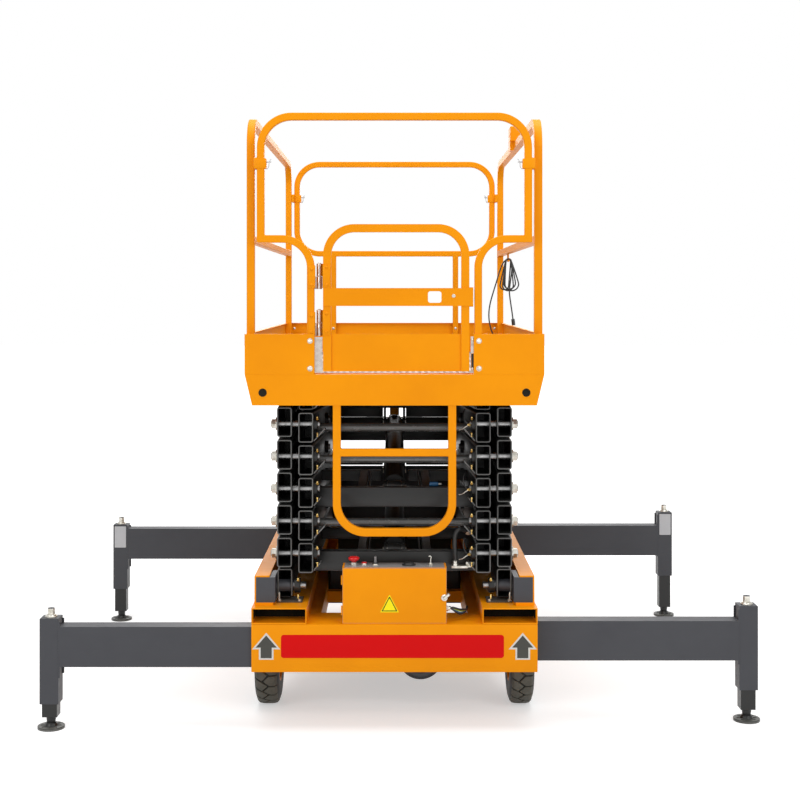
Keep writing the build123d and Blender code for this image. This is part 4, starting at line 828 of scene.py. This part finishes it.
base_ring(-0.163, 0.0130, 0.014)
turned(shape, (-0.163, control_y, lid_z), (0, 0, 1),
       [(0.014, 0.009), (0.018, 0.012), (0.022, 0.020), (0.028, 0.0225), (0.032, 0.0215), (0.035, 0.016),
        (0.036, 0.0)], 2, 40)
base_ring(-0.1215, 0.0130, 0.009)
turned(shape, (-0.1215, control_y, lid_z), (0, 0, 1), [(0.009, 0.0105), (0.012, 0.0105), (0.013, 0.009)], 2, 32)
base_ring(-0.0765, 0.0150, 0.007)
turned(shape, (-0.0765, control_y, lid_z), (0, 0, 1), [(0.007, 0.012), (0.013, 0.011), (0.014, 0.010)], 3, 32)
block(shape, (-0.0805, control_y - 0.013, lid_z + 0.013), (-0.0725, control_y + 0.013, lid_z + 0.036), 3, 0.003)
turned(shape, (0.0575, control_y, lid_z), (0, 0, 1),
       [(0, 0.028), (0.004, 0.028), (0.0055, 0.026), (0.0055, 0.021), (0.010, 0.020), (0.012, 0.017), (0.012, 0)],
       3, 40)
turned(shape, (0.1450, control_y, lid_z), (0, 0, 1), [(0, 0.010), (0.008, 0.010), (0.010, 0.008)], 1, 24)
# cam latch on the right edge
turned(shape, (0.198, -1.0968, 0.531), (0, -1, 0), [(0, 0.013), (0.003, 0.013), (0.005, 0.011)], 1, 28)
block(shape, (-0.006, -0.0035, -0.006), (0.026, 0.0035, 0.006), 1, 0.002,
      Matrix.Translation((0.198, -1.1045, 0.531)) @ Matrix.Rotation(radians(-40), 4, "Y"))
# blank sign: pale edge, black line and yellow field
for half, low, high, thick, skin in ((0.0370, -0.0330, 0.0355, 0.0006, 4), (0.0315, -0.0290, 0.0285, 0.0009, 5),
                                     (0.0255, -0.0255, 0.0215, 0.0012, 4)):
    plate(shape, ((half, low), (0.0015, high), (-0.0015, high), (-half, low)), (-0.0198, -1.0968, 0.5065),
          thick, skin)
box_top = finish_piece("control_box_fittings", shape, "chassis", box_skins)
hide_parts("box_controls")

# ---------------------------------------------------------------- cross boxes
# Two boxes of welded plate tie the rails together, each with two cells that the outrigger beams
# slide in. The plates' edges are ground, and a bumper plate closes the rear box.
half_width = 0.568
for end, low_y, bottom_z, roof_z in (("front", -1.100, 0.236, 0.426), ("rear", 0.764, 0.313, 0.502)):
    shape = bmesh.new()
    back_y = low_y + 0.208
    for low_z, high_z in ((bottom_z, bottom_z + 0.010), (roof_z - 0.006, roof_z)):
        block(shape, (-half_width + 0.0005, low_y + 0.004, low_z), (half_width - 0.0005, back_y, high_z), 0, 0.0015)
    block(shape, (-half_width, low_y, bottom_z), (half_width, low_y + 0.008, roof_z), 0, 0.0035)
    for web_y in (low_y + 0.100, low_y + 0.200):
        block(shape, (-half_width, web_y, bottom_z + 0.009), (half_width, web_y + 0.008, roof_z - 0.005), 0, 0.0010)
    if end == "rear":
        block(shape, (-half_width, 0.972, bottom_z), (half_width, 1.000, 0.490), 0, 0.0060)
        turned(shape, (0, 0.950, 0.190), (0, 0, 1),
               [(0, 0.028), (0.002, 0.030), (0.010, 0.030), (0.010, 0.022), (0.125, 0.022)], 1, 36)
    box_piece = finish_piece(f"{end}_box_plates", shape, "chassis", [yellow_coat, zinc])
    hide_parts(f"{end}_box")

# ---------------------------------------------------------------- bent wire and pipe
# A steel wire hook on the control box, the short clipped wires beside it, and the formed hoses
# that stand between the arms.


def bent(shape, points, radius, skin=0, sides=12, steps=8):
    """A round wire or pipe on one smooth line through its points, with closed ends."""
    places = [Vector(p) for p in points]
    line = []
    for i in range(len(places) - 1):
        before = places[max(i - 1, 0)]
        start, end = places[i], places[i + 1]
        after = places[min(i + 2, len(places) - 1)]
        for step in range(steps):
            t = step / steps
            line.append(0.5 * (2 * start + (end - before) * t
                               + (2 * before - 5 * start + 4 * end - after) * t * t
                               + (3 * start - before - 3 * end + after) * t ** 3))
    line.append(places[-1])
    side = (line[1] - line[0]).orthogonal().normalized()
    rings = []
    for i, place in enumerate(line):
        along = (line[min(i + 1, len(line) - 1)] - line[max(i - 1, 0)]).normalized()
        side = (side - along * side.dot(along)).normalized()
        other = along.cross(side)
        rings.append([shape.verts.new(place + radius * (side * cos(2 * pi * k / sides) + other * sin(2 * pi * k / sides)))
                      for k in range(sides)])
    made = [shape.faces.new(rings[0]), shape.faces.new(rings[-1])]
    for low, high in zip(rings, rings[1:]):
        for k in range(sides):
            made.append(shape.faces.new((low[k - 1], low[k], high[k], high[k - 1])))
    for face in made:
        face.material_index = skin


blue_plastic = moulding("blue_plastic", (0.010, 0.085, 0.200), (0.010, 0.060, 0.150), 0.35, 500.0)
lime_plastic = moulding("lime_plastic", (0.38, 0.50, 0.02), (0.30, 0.42, 0.02), 0.35, 500.0)
wire_skins = [zinc, lead_rubber, blue_plastic, lime_plastic, brass, steel_bar]
shape = bmesh.new()
bent(shape, ((0.145, -1.040, 0.657), (0.145, -1.040, 0.672), (0.147, -1.040, 0.681), (0.143, -1.040, 0.686),
             (0.137, -1.040, 0.684)), 0.0022, 0)
# wires out of the box's side, through a gland, down between the long beams
turned(shape, (0.207, -1.050, 0.478), (1, 0, 0), [(0, 0.011), (0.006, 0.011), (0.007, 0.008), (0.016, 0.007)], 0, 24)
for number, (skin, thick) in enumerate(((1, 0.0045), (3, 0.0024), (2, 0.0024), (1, 0.0035))):
    drop = 0.006 * number
    bent(shape, ((0.220, -1.050 + 0.004 * number, 0.478 + 0.002 * number), (0.235, -1.045, 0.480 - drop / 2),
                 (0.262, -1.030, 0.470 - drop), (0.285, -0.995, 0.462 - drop / 2), (0.296, -0.940, 0.452 + drop / 2),
                 (0.298, -0.880, 0.445)), thick, skin)
finish_piece("box_wiring", shape, "chassis", wire_skins)

# hose that rises out of the chassis on the right and loops back by the second frame's pin
shape = bmesh.new()
bent(shape, ((0.248, -0.930, 0.640), (0.2475, -0.932, 0.675), (0.246, -0.932, 0.715), (0.248, -0.930, 0.752),
             (0.262, -0.925, 0.772), (0.280, -0.915, 0.772), (0.300, -0.905, 0.760)), 0.0095, 1, 16)
turned(shape, (0.248, -0.930, 0.626), (0, 0, 1), [(0, 0.014), (0.010, 0.014), (0.011, 0.011), (0.022, 0.011)], 0, 6)
turned(shape, (0.300, -0.905, 0.760), (1, 0, -0.2), [(-0.006, 0.012), (0.008, 0.012), (0.010, 0.009), (0.022, 0.009)],
       0, 6)
block(shape, (0.232, -0.945, 0.618), (0.300, -0.905, 0.628), 0, 0.002)
block(shape, (0.292, -0.925, 0.618), (0.328, -0.905, 0.640), 0, 0.002)
finish_piece("hose_loop", shape, "inner_frame_1", wire_skins)

# grease lines: a thin pipe to the collar from a fitting beside it, on the right of three frames
for stage in (1, 3, 5):
    z = pivot_z + stage * stage_rise
    shape = bmesh.new()
    turned(shape, (0.306, -0.968, z - 0.002), (-0.6, -0.8, 0), [(0, 0.0065), (0.006, 0.0065), (0.007, 0.005),
                                                               (0.013, 0.005)], 4, 6)
    bent(shape, ((0.300, -0.975, z), (0.290, -0.978, z + 0.006), (0.281, -0.975, z + 0.024),
                 (0.280, -0.965, z + 0.046), (0.286, -0.950, z + 0.060)), 0.0022, 1)
    bent(shape, ((0.300, -0.975, z - 0.004), (0.288, -0.978, z - 0.010), (0.276, -0.975, z - 0.019),
                 (0.262, -0.968, z - 0.024)), 0.0020, 0)
    finish_piece(f"grease_line_{stage}", shape, f"inner_frame_{stage}", wire_skins)

# blue valve on top of the third frame's square tube
shape = bmesh.new()
top = arm_matrix(3, -1) @ Vector((0, 0.830, 0.0125))
turned(shape, top + Vector((0.145, 0.0, 0.009)), (1, 0, 0), [(0, 0.008), (0.002, 0.009), (0.034, 0.009),
                                                              (0.038, 0.006)], 2, 24)
turned(shape, top + Vector((0.183, 0.0, 0.009)), (1, 0, 0), [(0, 0.005), (0.012, 0.005)], 0, 16)
finish_piece("valve", shape, "inner_frame_3", wire_skins)

# ---------------------------------------------------------------- tread plate on the deck
# Steel tread plate with raised lozenges in rows that alternate in direction, left bare.
deck_steel = plating("deck_steel", (0.36, 0.33, 0.29), (0.25, 0.23, 0.20), 0.44)
floor_top = 1.4180
shape = bmesh.new()
block(shape, (-0.556, -1.004, floor_top), (0.556, 1.044, floor_top + 0.0006), 0)
row_pitch = 0.0255
for row in range(int(2.03 / row_pitch)):
    for step in range(int(1.10 / row_pitch)):
        x = -0.548 + row_pitch * (step + 0.5)
        y = -0.995 + row_pitch * (row + 0.5)
        lean = radians(45 if (row + step) % 2 else -45)
        along = Vector((cos(lean), sin(lean), 0))
        over = Vector((-sin(lean), cos(lean), 0))
        foot = Vector((x, y, floor_top + 0.0005))
        ring = [shape.verts.new(foot + v) for v in (along * 0.0125, over * 0.0032, along * -0.0125, over * -0.0032)]
        ridge = [shape.verts.new(foot + along * reach + Vector((0, 0, 0.0016))) for reach in (0.006, -0.006)]
        for corner in ((ring[0], ring[1], ridge[0]), (ring[1], ring[2], ridge[1], ridge[0]),
                       (ring[2], ring[3], ridge[1]), (ring[3], ring[0], ridge[0], ridge[1])):
            shape.faces.new(corner)
finish_piece("floor_tread", shape, "platform", [deck_steel])

# ---------------------------------------------------------------- platform fixings
# Domed bolts hold the toe boards to the posts, black plugs close the holes in the skirt, and
# bright plates stand in the gaps at both sides of the gate. Sleeves with a wire-held pin join
# the end frames to the side posts.
platform_skins = [yellow_coat, zinc, shade_and_plug_black, stainless, steel_bar, black_coat]
dome = ((0, 0.0110), (0.0012, 0.0110), (0.0014, 0.0095), (0.0034, 0.0086), (0.0056, 0.0058), (0.0066, 0.0))
small_dome = ((0, 0.0075), (0.0010, 0.0075), (0.0012, 0.0062), (0.0030, 0.0052), (0.0042, 0.0034), (0.0048, 0.0))
plug = ((0, 0.0165), (0.0010, 0.0165), (0.0026, 0.0145), (0.0026, 0.0110), (0.0012, 0.0090), (0.0012, 0.0))
bolt_heights = (1.5485, 1.4380)
deck_front, deck_rear, deck_side = -1.050, 1.090, 0.600
shape = bmesh.new()
for side in (-1, 1):
    turned(shape, (side * 0.5275, deck_front, 1.3415), (0, -1, 0), plug, 2, 32)
    turned(shape, (side * 0.5275, deck_rear, 1.3415), (0, 1, 0), plug, 2, 32)
    for z in bolt_heights:
        turned(shape, (side * 0.338, deck_front, z), (0, -1, 0), dome, 1, 24)
        turned(shape, (side * 0.338, deck_rear, z), (0, 1, 0), dome, 1, 24)
        for y in (-0.984, 0.030, 1.044):
            turned(shape, (side * deck_side, y, z), (side, 0, 0), dome, 1, 24)
    # bolts through the rear posts, seen over the gate
    turned(shape, (side * 0.549, 1.028, 1.5465), (0, -1, 0), small_dome, 1, 20)
    turned(shape, (side * 0.336, 1.052, 1.5465), (0, -1, 0), small_dome, 1, 20)
    # weld beads where the posts meet the deck
    for y in (-1.000, 1.028):
        block(shape, (side * 0.581 - 0.018, y - 0.002, 1.415), (side * 0.581 + 0.0155, y + 0.034, 1.4205), 0, 0.002)
    # sleeves and clip pins of the end frames
    for low_y, high_y, pin_y, out in ((-1.0475, -1.0125, -1.032, -1), (1.0495, 1.0845, 1.067, 1)):
        x0, x1 = sorted((side * 0.5135, side * 0.5640))
        block(shape, (x0, low_y, 2.2385), (x1, high_y, 2.2795), 0, 0.004)
        turned(shape, (side * 0.5140, pin_y, 2.266), (-side, 0, 0),
               [(0, 0.0024), (0.018, 0.0024), (0.0195, 0.0012)], 4, 12)
        bent(shape, ((side * 0.4945, pin_y, 2.2770), (side * 0.4995, pin_y, 2.2730), (side * 0.5030, pin_y, 2.2650),
                     (side * 0.5040, pin_y, 2.2500), (side * 0.5065, pin_y, 2.2425),
                     (side * 0.5120, pin_y + out * 0.004, 2.2370)), 0.0015, 4, 8)
# bright plates in the gaps beside the gate
block(shape, (-0.3205, -1.0405, 1.4215), (-0.2885, -1.0390, 1.5640), 3)
block(shape, (0.3055, -1.0405, 1.4215), (0.3205, -1.0390, 1.5660), 3)
block(shape, (0.3065, -1.0425, 1.4300), (0.3195, -1.0400, 1.4980), 5, 0.001)
for z in (1.5540, 1.4360):
    turned(shape, (0.3130, -1.0405, z), (0, -1, 0), small_dome, 1, 20)
# hinge leaves on the post, with their bolts
for low_z, high_z in ((1.5720, 1.6640), (1.7600, 1.8510)):
    block(shape, (-0.3450, -1.0475, low_z), (-0.3180, -1.0448, high_z), 0, 0.001)
    block(shape, (-0.3208, -1.0475, low_z), (-0.3180, -1.0200, high_z), 0, 0.001)
    for z in (low_z + 0.012, high_z - 0.015):
        turned(shape, (-0.3320, -1.0475, z), (0, -1, 0), small_dome, 0, 20)
finish_piece("platform_fixings", shape, "platform", platform_skins)

# ---------------------------------------------------------------- gate fittings
# The gate's halves of the lift-off hinges are bright steel. Painted leaves bolt to its post, a
# latch plate stands behind the flat bar, and one bolt carries the latch.
shape = bmesh.new()
for low_z, high_z in ((1.5680, 1.6720), (1.7560, 1.8580)):
    middle_z = (low_z + high_z) / 2 + 0.0005
    turned(shape, (-0.302, -1.022, middle_z), (0, 0, 1),
           [(0, 0.0108), (0.0008, 0.0114), (high_z - middle_z - 0.0005, 0.0114), (high_z - middle_z + 0.0006, 0.0104)],
           3, 32)
    turned(shape, (-0.302, -1.022, high_z), (0, 0, 1), [(0, 0.006), (0.003, 0.006), (0.004, 0.005)], 3, 24)
    block(shape, (-0.2890, -1.0490, low_z + 0.004), (-0.2580, -1.0458, high_z - 0.007), 0, 0.001)
    block(shape, (-0.2890, -1.0490, low_z + 0.004), (-0.2862, -1.0200, high_z - 0.007), 0, 0.001)
    for z in (low_z + 0.017, high_z - 0.014):
        turned(shape, (-0.2720, -1.0490, z), (0, -1, 0), small_dome, 0, 20)
block(shape, (0.2990, -1.0400, 1.6850), (0.3160, -1.0340, 1.7630), 0, 0.001)
turned(shape, (0.2370, -1.0460, 1.7285), (0, -1, 0), [(0, 0.0105), (0.0014, 0.0105)], 1, 28)
turned(shape, (0.2370, -1.0474, 1.7285), (0, -1, 0), [(0, 0.0080), (0.0046, 0.0080), (0.0056, 0.0068)], 1, 6)
# weld beads round the infill sheet
for x in (-0.2545, 0.2685):
    block(shape, (x - 0.0025, -1.0405, 1.4270), (x + 0.0025, -1.0365, 1.5755), 0, 0.0015)
finish_piece("gate_fittings", shape, "gate", platform_skins)

# ---------------------------------------------------------------- outrigger legs
# Each leg tube is capped with a washer and the head of its jack screw, and seam welded to its
# beam. The rear legs carry a pale blank plate. The jacks are square tubes on ribbed swivel pads.
stamped_plate = coat("stamped_plate", (0.55, 0.56, 0.58), (0.48, 0.49, 0.51), 0.35, 0.02, 0.3)
pad_steel = coat("pad_steel", (0.060, 0.060, 0.052), (0.115, 0.112, 0.100), 0.42, 0.05, 0.5)
leg_skins = [grey_coat, zinc, stamped_plate, steel_bar, black_coat, pad_steel]
for corner in corners:
    jack_low, jack_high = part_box("jack_" + corner)
    leg_low, leg_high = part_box("outrigger_" + corner)
    centre = Vector(((jack_low[0] + jack_high[0]) / 2, (jack_low[1] + jack_high[1]) / 2, 0))
    side = 1 if centre.x > 0 else -1
    top = leg_high[2] - 0.036
    shape = bmesh.new()
    turned(shape, centre + Vector((0, 0, top)), (0, 0, 1),
           [(0, 0.0250), (0.0045, 0.0250), (0.0055, 0.0240), (0.0055, 0.0200), (0.0100, 0.0190), (0.0120, 0.0150)],
           1, 36)
    turned(shape, centre + Vector((0, 0, top + 0.0100)), (0, 0, 1),
           [(0, 0.0143), (0.0245, 0.0143), (0.0258, 0.0125)], 1, 36)
    for step in range(3):
        turned(shape, centre + Vector((0, 0, top + 0.0150 + 0.0060 * step)), (0, 0, 1),
               [(0, 0.0143), (0.0008, 0.0149), (0.0016, 0.0143)], 1, 36)
    # cap plate and the weld seams to the beam
    block(shape, (centre.x - 0.0365, centre.y - 0.0365, top - 0.0060), (centre.x + 0.0365, centre.y + 0.0365, top + 0.0008),
          0, 0.0010)
    beam_side = centre.x - side * 0.0375
    for y in (-0.0375, 0.0375):
        x0, x1 = sorted((beam_side - side * 0.006, beam_side + side * 0.001))
        block(shape, (x0, centre.y + y - 0.003, top - 0.235), (x1, centre.y + y + 0.003, top - 0.012), 0, 0.002)
    if corner.startswith("rear"):
        plate(shape, rounded(0.0300, 0.0560, 0.003), (centre.x, centre.y - 0.0376, top - 0.0640), 0.0010, 2)
        for x in (-0.026, 0.026):
            for z in (-0.012, -0.116):
                turned(shape, (centre.x + x, centre.y - 0.0386, top + z), (0, -1, 0),
                       [(0, 0.0022), (0.0010, 0.0016)], 1, 12)
    finish_piece("leg_head_" + corner, shape, "outrigger_" + corner, leg_skins)
    # foot: ball neck, flange, ribs and rolled pad edge
    shape = bmesh.new()
    foot = centre + Vector((0, 0, jack_low[2]))
    turned(shape, foot, (0, 0, 1),
           [(0.0002, 0.0480), (0.0002, 0.0520), (0.0020, 0.0536), (0.0080, 0.0536), (0.0106, 0.0524), (0.0110, 0.0490),
            (0.0108, 0.0300)], 5, 48)
    for step in range(8):
        turn = Matrix.Translation(foot) @ Matrix.Rotation(radians(45 * step), 4, "Z")
        block(shape, (0.012, -0.0020, 0.0100), (0.0250, 0.0020, 0.0200), 5, 0.0006, turn)
        block(shape, (0.0240, -0.0020, 0.0100), (0.0410, 0.0020, 0.0135), 5, 0.0006, turn)
    turned(shape, foot + Vector((0, 0, 0.0180)), (0, 0, 1),
           [(0, 0.0155), (0.010, 0.0175), (0.020, 0.0190), (0.028, 0.0185), (0.032, 0.0150)], 4, 32)
    finish_piece("foot_" + corner, shape, "jack_" + corner, leg_skins)

# ---------------------------------------------------------------- drawbar and steering fittings
# Rubber grips on the drawbar's cross handle, plated bolts in its hinge with a grease nipple
# beside them, and nuts on the kingpins.
towing_lean = radians(2)
bar_foot = Vector((0, 1.070, 0.238))
bar_along = Vector((0, -sin(towing_lean), cos(towing_lean)))
grip = bar_foot + bar_along * 0.810
drawbar_skins = [lead_rubber, zinc, brass, yellow_coat]
shape = bmesh.new()
for side in (-1, 1):
    profile = [(0, 0.0150), (0.002, 0.0170)]
    for step in range(6):
        profile += [(0.006 + 0.015 * step, 0.0172), (0.009 + 0.015 * step, 0.0162), (0.014 + 0.015 * step, 0.0162),
                    (0.017 + 0.015 * step, 0.0172)]
    turned(shape, grip + Vector((side * 0.052, 0, 0)), (side, 0, 0),
           [*profile, (0.0965, 0.0172), (0.0995, 0.0150)], 0, 32)
    turned(shape, grip + Vector((side * 0.025, 0, 0)), (side, 0, 0), [(0, 0.019), (0.003, 0.016), (0.005, 0.0142)], 3, 32)
finish_piece("drawbar_grips", shape, "drawbar", drawbar_skins)
shape = bmesh.new()
for side in (-1, 1):
    turned(shape, bar_foot + Vector((side * 0.042, 0, 0)), (side, 0, 0), [(0, 0.020), (0.003, 0.020)], 1, 32)
    turned(shape, bar_foot + Vector((side * 0.045, 0, 0)), (side, 0, 0),
           [(0, 0.0155), (0.010, 0.0155), (0.012, 0.0130)], 1, 6)
nipple(shape, Vector((0.020, 0.985, 0.263)), (0, 0, 1), 0.016)
finish_piece("swivel_fittings", shape, "drawbar_swivel", drawbar_skins)
for side, name in ((-1, "left"), (1, "right")):
    low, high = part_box(f"knuckle_{name}")
    shape = bmesh.new()
    turned(shape, (side * 0.420, 0.500, high[2] - 0.0005), (0, 0, 1), [(0, 0.019), (0.003, 0.019)], 1, 32)
    turned(shape, (side * 0.420, 0.500, high[2] + 0.0025), (0, 0, 1),
           [(0, 0.0150), (0.011, 0.0150), (0.013, 0.0125)], 1, 6)
    turned(shape, (side * 0.420, 0.500, high[2] + 0.0130), (0, 0, 1), [(0, 0.0090), (0.008, 0.0090), (0.009, 0.008)], 1, 24)
    finish_piece(f"kingpin_nut_{name}", shape, f"knuckle_{name}", drawbar_skins)

# ---------------------------------------------------------------- cylinder fittings
# A gland nut closes each lifting cylinder's barrel, and a welded boss carries its hose fitting.
for number, stage in ((1, 1), (2, 3)):
    base = arm_matrix(stage, -1) @ Vector((0, 0.765, 0))
    eye = arm_matrix(stage + 2, -1) @ Vector((0, -0.845, -0.040))
    along = (eye - base).normalized()
    up = Vector((0, -along.z, along.y)) * (1 if along.y > 0 else -1)
    shape = bmesh.new()
    low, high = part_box(f"cylinder_barrel_{number}")
    for side in (-1, 1):
        turned(shape, base + Vector((side * 0.0295, 0, 0)), (side, 0, 0), [(0, 0.026), (0.0025, 0.026)], 1, 32)
    gland = base + along * 1.5245
    turned(shape, gland, along, [(-0.024, 0.0460), (-0.023, 0.0470), (-0.002, 0.0470), (0, 0.0455)], 0, 40)
    turned(shape, gland - along * 0.060 + up * 0.030, up, [(0, 0.014), (0.022, 0.013), (0.024, 0.011)], 0, 28)
    finish_piece(f"cylinder_gland_{number}", shape, f"cylinder_barrel_{number}", [black_coat, zinc])
